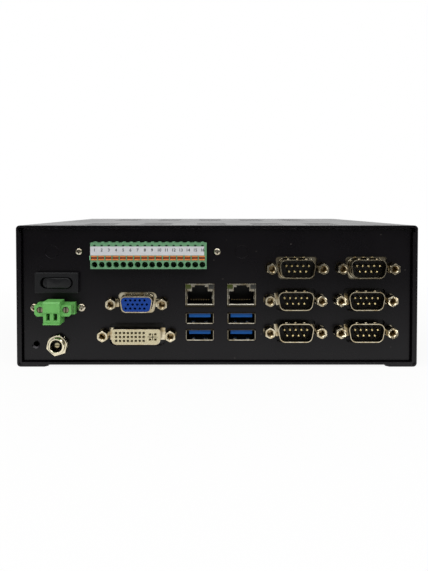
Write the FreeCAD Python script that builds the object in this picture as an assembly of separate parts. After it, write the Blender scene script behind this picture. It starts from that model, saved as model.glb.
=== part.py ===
import FreeCAD, Part
import math
import os

# Fanless industrial computer in a folded steel casing, in millimetres.
# X runs to the right along the connector panel, Y from the panel to the far side, Z up.
# While modelling, y = 0 is the panel's outer face; at the end everything is shifted so that
# the origin is in the middle of the underside.

Vector = FreeCAD.Vector

# ---------------------------------------------------------------- casing
CASE_DEPTH = 170.0
COVER_SHEET = 1.0
TRAY_SHEET = 1.2
PANEL_SHEET = 1.2
COVER_BEND = 1.8  # bend radii are those of the outer faces
TRAY_BEND = 1.8
PANEL_BEND = 0.6
SIDE_GAP = 0.1  # between nested side walls
PANEL_TOP_GAP = 0.5
PANEL_RECESS = 2.0  # from the casing's lip to the panel's face
PANEL_FLANGE = 10.0
TRAY_TOP_GAP = 2.5
FOOT_WIDTH = 15.0  # in-turned flanges that the casing stands on
FOOT_CHAMFER = 1.5
HEADROOM = 7.4  # from the terminal header to the top of the casing

CASING_SCREW_BORE = 1.5
CASING_SCREW_HEAD = 2.6
CASING_SCREW_INSET = 6.0  # behind the panels' faces
CASING_SCREW_MARGIN = 14.0  # from the panels' upper and lower edges
CASING_SCREW_GRIP = 3.0  # behind the panels' flanges

VENT_GROUPS = 5
VENT_GROUP_PITCH = 29.0
VENT_SHIFT = -2.4
VENT_LENGTH = 16.0
VENT_WIDTH = 2.4
VENT_PITCH = 7.0
VENT_FRONT = 16.0  # first slot of the front row, behind the lip
VENT_FRONT_SLOTS = 4
VENT_BACK = 107.0
VENT_BACK_SLOTS = 6

MOUNT_PITCH = 75.0
MOUNT_BORE = 2.0
MOUNT_NUT = 3.6
MOUNT_NUT_HEIGHT = 3.0

# ---------------------------------------------------------------- places along the panel
SIDE_TO_POWER = 19.8
POWER_TO_VIDEO = 39.2
VIDEO_TO_LAN = 30.85
LAN_PITCH = 20.6
LAN_TO_SERIAL = 26.2
SERIAL_PITCH = 34.45
SERIAL_TO_SIDE = 25.4
UPPER_SERIAL_SHIFT = 0.8
VIDEO_TO_TERMINALS = 5.4
RESET_OFFSET = 11.05
KNOCKOUT_OFFSET = 2.9

# ---------------------------------------------------------------- boards and heights
STANDOFF = 6.0
BOARD = 1.6
BOARD_START = 2.0  # behind the panel's face
BOARD_DEPTH = 122.0
BOARD_LEFT = 23.0  # beyond the video connectors
BOARD_RIGHT = 19.5  # beyond the last serial connectors
DVI_RISE = 5.8
VGA_ABOVE_DVI = 15.55
SERIAL_RISE = 7.4
SERIAL_STACK = 15.55
LOW_USB_RISE = 5.5
USB_STACK = 8.3
LAN_ABOVE_USB = 11.4
SERIAL_BOARD_RISE = 30.7
UPPER_SERIAL_RISE = 6.3
TERMINAL_BOARD_RISE = 35.9
JACK_HEIGHT = 10.6
JACK_TO_POWER = 18.3
POWER_TO_SWITCH = 12.5
RESET_HOLE = 1.35
RESET_SINK = 2.1
RESET_SINK_DEPTH = 0.5
KNOCKOUT_RADIUS = 3.3
KNOCKOUT_GROOVE = 0.25
KNOCKOUT_DEPTH = 0.4

UPPER_BOARD_DEPTH = 46.0
UPPER_BOARD_MARGIN = 17.0
SPACER_FLATS = 5.5
SPACER_BORE = 1.5
SPACER_INSET = 4.5
SPACER_NEAR = 26.0  # rows of spacers behind the connectors
BOARD_SCREW_HEAD = 2.75
BOARD_SCREW_HEAD_HEIGHT = 1.8
BOARD_SCREW_LENGTH = 4.5

# ---------------------------------------------------------------- D-shaped connectors
DSUB_SLANT = math.radians(10.0)
DSUB_WALL = 0.4
DSUB_FLANGE = 0.6
DSUB_FLANGE_HEIGHT = 12.2
DSUB_FLANGE_CORNER = 1.6
DSUB_FLANGE_EAR = 2.6  # beyond the screws
DSUB_TAB_HEIGHT = 6.0  # flanges of the stacked and the DVI connector, whose housings fill the openings
DSUB_SCREWS = 24.99
DSUB_PROUD = 5.0  # shell in front of the panel
DSUB_ROOT = 0.5  # radius where the shell leaves its flange

SERIAL_WIDTH = 17.6
SERIAL_HEIGHT = 8.36
SERIAL_CORNER = 2.6
SERIAL_CUTOUT_WIDTH = 21.1
SERIAL_CUTOUT_HEIGHT = 11.1
SERIAL_CUTOUT_CORNER = 1.6
SERIAL_PIN_RADIUS = 0.5
SERIAL_PIN_PITCH = 2.77
SERIAL_PIN_ROWS = 2.84
SERIAL_PIN_SHY = 0.7  # pin tips behind the shell's edge
SERIAL_PIN_TAPER = 0.25  # of the tips, off the radius and along the pin
SERIAL_BODY_WIDTH = 21.6
SERIAL_BODY_DEPTH = 17.0
SERIAL_STACK_SETBACK = 0.9  # lower flanges behind the panel's inner face

VGA_WIDTH = 15.5
VGA_HEIGHT = 7.1
VGA_CORNER = 1.9
VGA_CUTOUT_WIDTH = 20.1
VGA_CUTOUT_HEIGHT = 10.6
VGA_CUTOUT_CORNER = 2.4
VGA_HOLE = 0.6
VGA_HOLE_PITCH = 2.29
VGA_HOLE_ROWS = 1.98
VGA_HOLE_DEPTH = 3.0
VGA_INSERT_SHY = 0.3

DVI_WIDTH = 23.0
DVI_HEIGHT = 6.9
DVI_UPPER_CORNER = 0.7
DVI_LOWER_CORNER = 2.2
DVI_WALL = 0.3
DVI_PROUD = 6.0
DVI_SCREWS = 33.0
DVI_CUTOUT_WIDTH = 27.6
DVI_CUTOUT_HEIGHT = 11.2
DVI_CUTOUT_CORNER = 2.6
DVI_HOLE = 1.15
DVI_HOLE_PITCH = 1.905
DVI_HOLE_COLUMNS = 8
DVI_FIRST_COLUMN = 9.6  # left of the middle
DVI_CROSS = 8.1  # right of the middle
DVI_CROSS_WIDTH = 4.8
DVI_CROSS_HEIGHT = 3.4
DVI_CROSS_SLOT = 0.4
DVI_CROSS_HOLES_ACROSS = 2.6
DVI_CROSS_HOLES_UP = 2.5
DVI_HOLE_DEPTH = 3.0
VIDEO_BODY_WIDTH = 28.4
VIDEO_BODY_DEPTH = 18.0
VIDEO_BODY_RISE = 6.0  # above the middle of the DVI connector
VGA_BODY_WIDTH = 19.0

JACKSCREW_FLATS = 4.8
JACKSCREW_PROUD = 5.4
JACKSCREW_TIP = 0.2
JACKSCREW_BORE = 1.42
JACKSCREW_BORE_DEPTH = 4.6
JACKSCREW_SHANK = 1.4
JACKSCREW_HOLE = 1.6  # in the flanges
JACKSCREW_SHANK_LENGTH = 3.0
JACKSCREW_CLEARANCE = 2.9

# ---------------------------------------------------------------- LAN and USB sockets
SHIELD_WIDTH = 15.9
SHIELD_DEPTH = 21.0
SHIELD_SHEET = 0.3
SHIELD_TOP = 0.9  # above the LAN nose
PORT_PROUD = 0.4
PORT_FIT = 0.15  # round the noses in the panel
LAN_WIDTH = 14.1
LAN_HEIGHT = 11.4
LAN_RIM = 0.85
LAN_OPENING_HEIGHT = 7.1
LAN_OPENING_BOTTOM = 0.6
LAN_STEP_WIDTH = 7.8
LAN_STEP_HEIGHT = 2.1
LAN_TAB_WIDTH = 5.0
LAN_TAB_HEIGHT = 0.9
LAN_SOCKET_DEPTH = 13.5
LAN_CONTACTS = 8
LAN_CONTACT_PITCH = 1.27
LAN_CONTACT = 0.45
LAN_CONTACT_FOOT = 1.0
LAN_CONTACT_REACH = 8.5
LAN_CONTACT_RISE = 1.9
LAN_LIGHT_WIDTH = 2.4
LAN_LIGHT_HEIGHT = 2.1
LAN_LIGHT_DEPTH = 6.0
USB_WIDTH = 13.6
USB_HEIGHT = 5.4
USB_WALL = 0.35
USB_CORNER = 0.6
USB_INNER_CORNER = 0.2
USB_DEPTH = 17.0
USB_SOCKET_DEPTH = 12.0
USB_TONGUE_WIDTH = 10.6
USB_TONGUE_HEIGHT = 1.84
USB_TONGUE_DROP = 0.2  # under the socket's roof
USB_TONGUE_SHY = 1.2

# ---------------------------------------------------------------- terminal block
POLES = 16
POLE_PITCH = 3.5
TERMINAL_END = 0.3
TERMINAL_HEIGHT = 12.8
TERMINAL_PROUD = 3.5
TERMINAL_FIT = 0.1
TERMINAL_SHIFT = 0.5  # plug against the header's screws
TERMINAL_INSERTION = 9.0  # plug behind the panel
TERMINAL_SCREWS = 68.0
TERMINAL_SCREW_RISE = 1.85
HEADER_HEIGHT = 14.8
HEADER_DEPTH = 12.0
HEADER_EAR = 3.6  # beyond the screws
HEADER_EAR_DEPTH = 6.0
STRIP_BOTTOM = 0.25  # above the middle of the plug
STRIP_HEIGHT = 4.35
STRIP_LENGTH = 55.4
STRIP_SHEET = 0.7
BUTTON_WIDTH = 2.9
BUTTON_HEIGHT = 2.2
BUTTON_LENGTH = 6.0
BUTTON_GAP = 0.05
BUTTON_DROP = 1.05  # below the middle of the plug
BUTTON_SHIFT = 0.25  # left of the poles
BUTTON_TRAVEL = 1.2
BUTTON_PROUD = 0.1
WIRE_HOLE = 1.45
WIRE_HOLE_DROP = 4.3
WIRE_HOLE_DEPTH = 8.0
TEST_SLOT_WIDTH = 1.1
TEST_SLOT_HEIGHT = 0.75
TEST_SLOT_RISE = 5.05
TEST_SLOT_DEPTH = 2.0
POLE_NOTCH = 0.35

PANEL_SCREW_HEAD = 2.0
TERMINAL_SCREW_HEAD = 1.75
PANEL_SCREW_HEAD_HEIGHT = 1.1
PANEL_SCREW_CROWN = 0.35
PANEL_SCREW_EDGE = 0.6  # of the crown, off the head's radius
PANEL_SCREW_BORE = 1.0
PANEL_SCREW_LENGTH = 5.0

# ---------------------------------------------------------------- power input
POWER_HEADER_WIDTH = 18.2
POWER_HEADER_HEIGHT = 5.7
POWER_HEADER_PROUD = 3.2
POWER_HEADER_DEPTH = 9.0
POWER_HEADER_WALL = 0.9
POWER_SCREWS = 23.4
POWER_EAR = 2.6
POWER_EAR_DEPTH = 4.0
POWER_FIT = 0.15
PLUG_PROUD = 11.9
PLUG_WIDTH = 8.0
PLUG_ABOVE = 4.65
PLUG_BELOW = 6.25
PLUG_CHAMFER = 0.8
PLUG_FACE_DROP = 0.3  # lower end of the raised upper face, below the middle
PLUG_FACE_STEP = 0.7
PLUG_LIP = 0.7
PLUG_FLANGE_PROUD = 9.3
PLUG_FLANGE_WIDTH = 17.6
PLUG_FLANGE_HEIGHT = 5.3
PLUG_FLANGE_CORNER = 1.1
PLUG_NOSE_DEPTH = 4.0
PLUG_POLES = 2
PLUG_ENTRY_WIDTH = 1.75
PLUG_ENTRY_HEIGHT = 3.3
PLUG_ENTRY_DROP = 2.6
PLUG_ENTRY_DEPTH = 6.0
PLUG_SCREWS = 12.3
PLUG_SCREW_RISE = 0.45
PLUG_SCREW_HEAD = 1.6
PLUG_SCREW_SUNK = 0.4
PLUG_SCREW_BORE = 1.1
CLAMP_SCREW = 1.2
CLAMP_SCREW_SUNK = 0.6
CLAMP_SCREW_LENGTH = 2.2
CLAMP_SCREW_BACK = 4.4

# ---------------------------------------------------------------- DC jack
JACK_THREAD = 4.0
JACK_PROUD = 4.4
JACK_DEPTH = 10.0
JACK_FLANGE = 5.2
JACK_FLANGE_DEPTH = 2.0
JACK_NUT_FLATS = 9.4
JACK_NUT = 2.2
JACK_NUT_BEVEL = 0.7
JACK_NUT_TURN = math.radians(-13.0)
JACK_WASHER = 5.6
JACK_WASHER_SHEET = 0.5
JACK_MOUTH = 2.95
JACK_SOCKET_DEPTH = 9.5
JACK_PIN = 1.2
JACK_PIN_SHY = 2.4
JACK_PIN_SLIT = 0.35
JACK_PIN_SLIT_DEPTH = 4.0
JACK_RIM = 0.5

# ---------------------------------------------------------------- rocker switch
SWITCH_WIDTH = 21.3
SWITCH_HEIGHT = 10.1
SWITCH_PROUD = 2.7
SWITCH_EDGE = 0.5
SWITCH_BODY_WIDTH = 19.2
SWITCH_BODY_HEIGHT = 8.6
SWITCH_BODY_DEPTH = 12.0
SWITCH_FIT = 0.1
SWITCH_WELL_LENGTH = 16.0
SWITCH_WELL_HEIGHT = 5.6
SWITCH_WELL_FLOOR = 1.8  # behind the pivot
ROCKER_LENGTH = 14.8
ROCKER_GAP = 0.15
ROCKER_PIVOT = 3.0  # behind the bezel's face
ROCKER_PIN = 0.9
ROCKER_PIN_FIT = 0.05
ROCKER_KEEL = 0.3  # beyond the pin
ROCKER_PIN_REACH = 0.8
ROCKER_VALLEY = 0.6
ROCKER_SWING = math.radians(12.0)
SWITCH_BLADE_WIDTH = 2.8
SWITCH_BLADE_SHEET = 0.6
SWITCH_BLADE_LENGTH = 6.0
SWITCH_BLADE_PITCH = 7.0

# ---------------------------------------------------------------- on the mainboard
CHIP = 34.0
CHIP_HEIGHT = 3.2
CHIP_BACK = 84.0  # behind the panel's face
CHIP_RIGHT = 14.0  # right of the casing's middle
SINK_WIDTH = 66.0
SINK_DEPTH = 58.0
SINK_BASE = 4.0
SINK_HEIGHT = 30.0
SINK_FIN = 1.6
SINK_FINS = 11
MEMORY_LENGTH = 67.6
MEMORY_WIDTH = 30.0
MEMORY_HEIGHT = 1.2
MEMORY_RISE = 2.6
MEMORY_SOCKET_WIDTH = 6.0
MEMORY_SOCKET_HEIGHT = 5.2
MEMORY_CLEAR = 4.0  # behind the heat sink
STORAGE_WIDTH = 22.0
STORAGE_LENGTH = 42.0
STORAGE_HEIGHT = 2.2
STORAGE_CLEAR = 6.0  # beside the heat sink
STORAGE_SOCKET = 5.0
STORAGE_SOCKET_HEIGHT = 4.0
STORAGE_GRIP = 1.5
STORAGE_RISE = 1.0

# ---------------------------------------------------------------- worked out from the above
CASE_WIDTH = (
    SIDE_TO_POWER
    + POWER_TO_VIDEO
    + VIDEO_TO_LAN
    + LAN_PITCH
    + LAN_TO_SERIAL
    + SERIAL_PITCH
    + SERIAL_TO_SIDE
)
HALF_WIDTH = CASE_WIDTH / 2
POWER_X = SIDE_TO_POWER - HALF_WIDTH
VIDEO_X = POWER_X + POWER_TO_VIDEO
LAN_COLUMNS = [VIDEO_X + VIDEO_TO_LAN + i * LAN_PITCH for i in range(2)]
SERIAL_COLUMNS = [LAN_COLUMNS[-1] + LAN_TO_SERIAL + i * SERIAL_PITCH for i in range(2)]
TERMINAL_X = VIDEO_X + VIDEO_TO_TERMINALS

TRAY_TOP = COVER_SHEET + TRAY_SHEET
BOARD_TOP = TRAY_TOP + STANDOFF + BOARD
DVI_Z = BOARD_TOP + DVI_RISE
VGA_Z = DVI_Z + VGA_ABOVE_DVI
SERIAL_ROWS = [BOARD_TOP + SERIAL_RISE, BOARD_TOP + SERIAL_RISE + SERIAL_STACK]
USB_ROWS = [BOARD_TOP + LOW_USB_RISE, BOARD_TOP + LOW_USB_RISE + USB_STACK]
LAN_Z = USB_ROWS[-1] + LAN_ABOVE_USB
SERIAL_BOARD_Z = BOARD_TOP + SERIAL_BOARD_RISE
SERIAL_BOARD_TOP = SERIAL_BOARD_Z + BOARD
UPPER_SERIAL_Z = SERIAL_BOARD_TOP + UPPER_SERIAL_RISE
TERMINAL_BOARD_Z = BOARD_TOP + TERMINAL_BOARD_RISE
TERMINAL_BOARD_TOP = TERMINAL_BOARD_Z + BOARD
TERMINAL_Z = TERMINAL_BOARD_TOP + HEADER_HEIGHT / 2
CASE_HEIGHT = TERMINAL_BOARD_TOP + HEADER_HEIGHT + HEADROOM
POWER_Z = JACK_HEIGHT + JACK_TO_POWER
SWITCH_Z = POWER_Z + POWER_TO_SWITCH

LIP = -PANEL_RECESS
BACK = LIP + CASE_DEPTH
TRAY_HALF = HALF_WIDTH - COVER_SHEET - SIDE_GAP
PANEL_HALF = TRAY_HALF - TRAY_SHEET - SIDE_GAP
PANEL_TOP = CASE_HEIGHT - COVER_SHEET - PANEL_TOP_GAP
PANEL_CORNER = PANEL_BEND + 0.2
PANEL_BACK = PANEL_SHEET  # the panel's inner face
FAR_PANEL = BACK - PANEL_RECESS

PLUG_LENGTH_X = POLES * POLE_PITCH + 2 * TERMINAL_END
PLUG_MIDDLE_X = TERMINAL_X + TERMINAL_SHIFT
POLE_COLUMNS = [
    PLUG_MIDDLE_X + (i - (POLES - 1) / 2) * POLE_PITCH for i in range(POLES)
]
TERMINAL_SCREW_Z = TERMINAL_Z + TERMINAL_SCREW_RISE


# ---------------------------------------------------------------- shared shapes
def around(middle, size):
    """The low and high ends of a size centred on a place."""
    return middle - size / 2, middle + size / 2


def box(x, y, z):
    """Block between low and high ends along each axis."""
    return Part.makeBox(x[1] - x[0], y[1] - y[0], z[1] - z[0], Vector(x[0], y[0], z[0]))


def cylinder(x, z, radius, y):
    """Round bar along Y."""
    return Part.makeCylinder(radius, y[1] - y[0], Vector(x, y[0], z), Vector(0, 1, 0))


def cone(x, z, radii, y):
    """Tapered round bar along Y."""
    return Part.makeCone(radii[0], radii[1], y[1] - y[0], Vector(x, y[0], z), Vector(0, 1, 0))


def upright(x, y, radius, z):
    """Round bar along Z."""
    return Part.makeCylinder(radius, z[1] - z[0], Vector(x, y, z[0]))


def join(shapes):
    """One solid from shapes that meet."""
    return shapes[0].multiFuse(shapes[1:]).removeSplitter()


def outline(corners, radii):
    """Closed wire at y = 0 through (x, z) corners, each rounded by its own radius."""
    points = [Vector(x, 0, z) for x, z in corners]
    count = len(points)
    if not isinstance(radii, (list, tuple)):
        radii = [radii] * count
    arcs = []
    for i, corner in enumerate(points):
        before = (points[i - 1] - corner).normalize()
        after = (points[(i + 1) % count] - corner).normalize()
        half = before.getAngle(after) / 2
        reach = radii[i] / math.tan(half)
        middle = (before + after).normalize() * (radii[i] / math.sin(half) - radii[i])
        arcs.append((corner + before * reach, corner + middle, corner + after * reach))
    edges = []
    for i, (start, middle, end) in enumerate(arcs):
        if radii[i] > 0:
            edges.append(Part.Arc(start, middle, end).toShape())
        following = arcs[(i + 1) % count][0]
        if (following - end).Length > 1e-6:
            edges.append(Part.LineSegment(end, following).toShape())
    return Part.Wire(edges)


def prism(corners, radii, y):
    """Solid between two places along Y on a rounded outline in x and z."""
    solid = Part.Face(outline(corners, radii)).extrude(Vector(0, y[1] - y[0], 0))
    solid.translate(Vector(0, y[0], 0))
    return solid


def rectangle(x, z, width, height):
    left, right = around(x, width)
    low, high = around(z, height)
    return [(left, low), (right, low), (right, high), (left, high)]


def slab(x, z, width, height, radius, y):
    """Rounded rectangle between two places along Y."""
    return prism(rectangle(x, z, width, height), radius, y)


def hexagon(x, z, flats, y, turn=0.0):
    """Hexagonal bar along Y with two corners pointing up and down before the turn."""
    reach = flats / 2 / math.cos(math.pi / 6)
    turns = [turn + math.pi / 6 + i * math.pi / 3 for i in range(6)]
    return prism([(x + reach * math.cos(a), z + reach * math.sin(a)) for a in turns], 0, y)


def folded(path, sheet, bend, y):
    """Sheet folded along a path of (x, z) corners, which is its outer face; the sheet is on the right."""
    inner = []
    for i, (x, z) in enumerate(path):
        shift = Vector(0, 0, 0)
        for first, second in ((i - 1, i), (i, i + 1)):
            if first < 0 or second >= len(path):
                continue
            start, end = path[first], path[second]
            along = Vector(end[0] - start[0], 0, end[1] - start[1]).normalize()
            shift = shift + Vector(along.z, 0, -along.x) * sheet
        inner.append((x + shift.x, z + shift.z))
    outer_radii = [0] + [bend] * (len(path) - 2) + [0]
    inner_radii = [0] + [max(bend - sheet, 0.05)] * (len(path) - 2) + [0]
    return prism(path + inner[::-1], outer_radii + inner_radii[::-1], y)


def d_corners(x, z, width, height):
    """Corners of a D outline, wide side up."""
    slope = height * math.tan(DSUB_SLANT)
    left, right = around(x, width)
    low, high = around(z, height)
    return [(left + slope, low), (right - slope, low), (right, high), (left, high)]


def d_shape(x, z, width, height, corner, y):
    return prism(d_corners(x, z, width, height), corner, y)


def screw_pair(x, spacing):
    return [x - spacing / 2, x + spacing / 2]


# ---------------------------------------------------------------- casing
def casing_screw_places():
    """Y and Z of the four screws in each side wall."""
    heights = [TRAY_TOP + CASING_SCREW_MARGIN, PANEL_TOP - CASING_SCREW_MARGIN]
    depths = [CASING_SCREW_INSET, FAR_PANEL - CASING_SCREW_INSET]
    return [(y, z) for y in depths for z in heights]


def across(side, radius, reach, y, z):
    """Round bar along X in one side wall; the reach is counted inwards from the casing's outer face."""
    start = side * (HALF_WIDTH - reach[0])
    return Part.makeCylinder(radius, reach[1] - reach[0], Vector(start, y, z), Vector(-side, 0, 0))


def sink(side, y, z):
    """Countersink in the cover's side wall."""
    start = Vector(side * HALF_WIDTH, y, z)
    return Part.makeCone(CASING_SCREW_HEAD, CASING_SCREW_BORE, COVER_SHEET, start, Vector(-side, 0, 0))


def casing_screw_grip():
    return HALF_WIDTH - PANEL_HALF + PANEL_SHEET + CASING_SCREW_GRIP


def screw_holes(solid, first, last):
    """Cuts the casing screws' bores through side walls between two depths from the outer face."""
    for side in (-1, 1):
        for y, z in casing_screw_places():
            solid = solid.cut(across(side, CASING_SCREW_BORE, (first, last), y, z))
    return solid


def vent_slots():
    """Rounded slots through the top of the cover, in groups."""
    middle = (VENT_GROUPS - 1) / 2
    columns = [VENT_SHIFT + (i - middle) * VENT_GROUP_PITCH for i in range(VENT_GROUPS)]
    rows = [LIP + VENT_FRONT + i * VENT_PITCH for i in range(VENT_FRONT_SLOTS)]
    rows += [LIP + VENT_BACK + i * VENT_PITCH for i in range(VENT_BACK_SLOTS)]
    height = (CASE_HEIGHT - 2 * COVER_SHEET, CASE_HEIGHT + COVER_SHEET)
    slots = []
    for x in columns:
        left, right = around(x, VENT_LENGTH - VENT_WIDTH)
        for y in rows:
            ends = [upright(place, y, VENT_WIDTH / 2, height) for place in (left, right)]
            slots.append(join([box((left, right), around(y, VENT_WIDTH), height)] + ends))
    return slots


def top_cover():
    inner = HALF_WIDTH - FOOT_WIDTH
    path = [
        (-inner, 0),
        (-HALF_WIDTH, 0),
        (-HALF_WIDTH, CASE_HEIGHT),
        (HALF_WIDTH, CASE_HEIGHT),
        (HALF_WIDTH, 0),
        (inner, 0),
    ]
    cover = folded(path, COVER_SHEET, COVER_BEND, (LIP, BACK))
    for side in (-1, 1):
        for y, way in ((LIP, 1), (BACK, -1)):
            start = Vector(side * inner, y, 0)
            along = Vector(side * (inner + FOOT_CHAMFER), y, 0)
            deep = Vector(side * inner, y + way * FOOT_CHAMFER, 0)
            corner = Part.Face(Part.makePolygon([start, along, deep, start]))
            cover = cover.cut(corner.extrude(Vector(0, 0, COVER_SHEET)))
        for y, z in casing_screw_places():
            cover = cover.cut(sink(side, y, z))
    return cover.cut(Part.makeCompound(vent_slots()))


def mount_places():
    middle = (LIP + BACK) / 2
    return [(x, y) for x in around(0, MOUNT_PITCH) for y in around(middle, MOUNT_PITCH)]


def base_tray():
    top = CASE_HEIGHT - COVER_SHEET - TRAY_TOP_GAP
    path = [(TRAY_HALF, top), (TRAY_HALF, COVER_SHEET), (-TRAY_HALF, COVER_SHEET), (-TRAY_HALF, top)]
    tray = folded(path, TRAY_SHEET, TRAY_BEND, (LIP, BACK))
    tray = screw_holes(tray, COVER_SHEET, HALF_WIDTH - TRAY_HALF + 2 * TRAY_SHEET)
    for x, y in mount_places():
        tray = tray.cut(upright(x, y, MOUNT_BORE, (0, TRAY_TOP + TRAY_SHEET)))
    return tray


def mount_inserts():
    """Threaded inserts pressed into the tray."""
    nuts = []
    for x, y in mount_places():
        nut = upright(x, y, MOUNT_NUT, (TRAY_TOP, TRAY_TOP + MOUNT_NUT_HEIGHT))
        nuts.append(nut.cut(upright(x, y, MOUNT_BORE, (TRAY_TOP, TRAY_TOP + MOUNT_NUT_HEIGHT))))
    return Part.makeCompound(nuts)


def pan():
    """Folded panel with four flanges, its face at y = 0 and its flanges behind, notched at the corners."""
    width = 2 * PANEL_HALF
    height = PANEL_TOP - TRAY_TOP
    middle = (PANEL_TOP + TRAY_TOP) / 2
    outer = slab(0, middle, width, height, PANEL_CORNER, (0, PANEL_FLANGE))
    face = [e for e in outer.Edges if max(abs(v.Point.y) for v in e.Vertexes) < 1e-6]
    outer = outer.makeFillet(PANEL_BEND, face)
    inside = (PANEL_SHEET, PANEL_FLANGE + 1)
    thick = 2 * PANEL_SHEET
    inner = slab(0, middle, width - thick, height - thick, max(PANEL_CORNER - PANEL_SHEET, 0), inside)
    pan = outer.cut(inner)
    notch = PANEL_BEND + PANEL_SHEET
    for x in (-PANEL_HALF, PANEL_HALF):
        for z in (TRAY_TOP, PANEL_TOP):
            corner = box(around(x, 2 * notch), (notch, PANEL_FLANGE + 1), around(z, 2 * notch))
            pan = pan.cut(corner)
    return pan


def front_panel():
    """The plain panel on the far side, facing the other way."""
    far = pan()
    far.rotate(Vector(0, 0, 0), Vector(0, 0, 1), 180)
    far.translate(Vector(0, FAR_PANEL, 0))
    return screw_holes(far, HALF_WIDTH - PANEL_HALF - SIDE_GAP, casing_screw_grip())


def io_panel():
    panel = screw_holes(pan(), HALF_WIDTH - PANEL_HALF - SIDE_GAP, casing_screw_grip())
    through = (-1, PANEL_SHEET + 1)
    cutters = [serial_cutout(x, z, through) for x, z, face in dsub_places()]
    cutters += [vga_cutout(through), dvi_cutout(through)]
    for x in LAN_COLUMNS:
        wide, high = LAN_WIDTH + 2 * PORT_FIT, LAN_HEIGHT + 2 * PORT_FIT
        cutters.append(box(around(x, wide), through, around(LAN_Z, high)))
        for z in USB_ROWS:
            wide, high = USB_WIDTH + 2 * PORT_FIT, USB_HEIGHT + 2 * PORT_FIT
            cutters.append(box(around(x, wide), through, around(z, high)))
    wide, high = PLUG_LENGTH_X + 2 * TERMINAL_FIT, TERMINAL_HEIGHT + 2 * TERMINAL_FIT
    cutters.append(box(around(PLUG_MIDDLE_X, wide), through, around(TERMINAL_Z, high)))
    wide, high = POWER_HEADER_WIDTH + 2 * POWER_FIT, POWER_HEADER_HEIGHT + 2 * POWER_FIT
    cutters.append(box(around(POWER_X, wide), through, around(POWER_Z, high)))
    wide, high = SWITCH_BODY_WIDTH + 2 * SWITCH_FIT, SWITCH_BODY_HEIGHT + 2 * SWITCH_FIT
    cutters.append(box(around(POWER_X, wide), through, around(SWITCH_Z, high)))
    cutters.append(cylinder(POWER_X, JACK_HEIGHT, JACK_THREAD, through))
    for x, z, radius in panel_screw_places():
        cutters.append(cylinder(x, z, PANEL_SCREW_BORE, through))
    reset_x = POWER_X - RESET_OFFSET
    cutters.append(cylinder(reset_x, JACK_HEIGHT, RESET_HOLE, through))
    cutters.append(cone(reset_x, JACK_HEIGHT, (RESET_SINK, RESET_HOLE), (0, RESET_SINK_DEPTH)))
    for x in (POWER_X - KNOCKOUT_OFFSET, LAN_COLUMNS[-1]):
        deep = (0, KNOCKOUT_DEPTH)
        groove = cylinder(x, TERMINAL_SCREW_Z, KNOCKOUT_RADIUS, deep)
        disc = cylinder(x, TERMINAL_SCREW_Z, KNOCKOUT_RADIUS - KNOCKOUT_GROOVE, deep)
        cutters.append(groove.cut(disc))
    return panel.cut(Part.makeCompound(cutters))


def casing_screws():
    """Countersunk screws through cover and tray into the panels' flanges."""
    screws = []
    for side in (-1, 1):
        for y, z in casing_screw_places():
            shank = across(side, CASING_SCREW_BORE, (COVER_SHEET, casing_screw_grip()), y, z)
            screws.append(join([sink(side, y, z), shank]))
    return Part.makeCompound(screws)


# ---------------------------------------------------------------- D-shaped connectors
def dsub_places():
    """X, Z and the flange's front face of the six serial connectors, column by column, lowest first."""
    places = []
    for x in SERIAL_COLUMNS:
        places += [(x, z, PANEL_BACK + SERIAL_STACK_SETBACK) for z in SERIAL_ROWS]
        places.append((x + UPPER_SERIAL_SHIFT, UPPER_SERIAL_Z, PANEL_BACK))
    return places


def with_lobes(opening, x, z, screws, y):
    """Panel opening with round lobes that clear the jackscrews."""
    return join([opening] + [cylinder(place, z, JACKSCREW_CLEARANCE, y) for place in screw_pair(x, screws)])


def serial_cutout(x, z, y):
    opening = d_shape(x, z, SERIAL_CUTOUT_WIDTH, SERIAL_CUTOUT_HEIGHT, SERIAL_CUTOUT_CORNER, y)
    return with_lobes(opening, x, z, DSUB_SCREWS, y)


def vga_cutout(y):
    opening = d_shape(VIDEO_X, VGA_Z, VGA_CUTOUT_WIDTH, VGA_CUTOUT_HEIGHT, VGA_CUTOUT_CORNER, y)
    return with_lobes(opening, VIDEO_X, VGA_Z, DSUB_SCREWS, y)


def dvi_cutout(y):
    opening = slab(VIDEO_X, DVI_Z, DVI_CUTOUT_WIDTH, DVI_CUTOUT_HEIGHT, DVI_CUTOUT_CORNER, y)
    return with_lobes(opening, VIDEO_X, DVI_Z, DVI_SCREWS, y)


def rooted(skirt, tube, x, z, face):
    """Rounds the corner where a drawn tube leaves its full flange."""
    root = [
        e
        for e in skirt.Edges
        if all(abs(v.Point.y - face) < 1e-6 for v in e.Vertexes)
        and e.BoundBox.XLength < tube.BoundBox.XLength + DSUB_WALL
        and abs(e.BoundBox.Center.z - z) < tube.BoundBox.ZLength / 2 + 1e-3
        and abs(e.BoundBox.Center.x - x) < tube.BoundBox.XLength / 2 + 1e-3
    ]
    return skirt.makeFillet(DSUB_ROOT, root)


def flange_plate(x, z, screws, height, face):
    """Flat flange with a hole for each jackscrew."""
    depth = (face, face + DSUB_FLANGE)
    plate = slab(x, z, screws + 2 * DSUB_FLANGE_EAR, height, DSUB_FLANGE_CORNER, depth)
    for place in screw_pair(x, screws):
        plate = plate.cut(cylinder(place, z, JACKSCREW_HOLE, depth))
    return plate


def dsub_skin(x, z, width, height, corner, y):
    """Outer form of a D-shaped tube, given its inner size."""
    wide, high = width + 2 * DSUB_WALL, height + 2 * DSUB_WALL
    return d_shape(x, z, wide, high, corner + DSUB_WALL, y)


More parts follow.
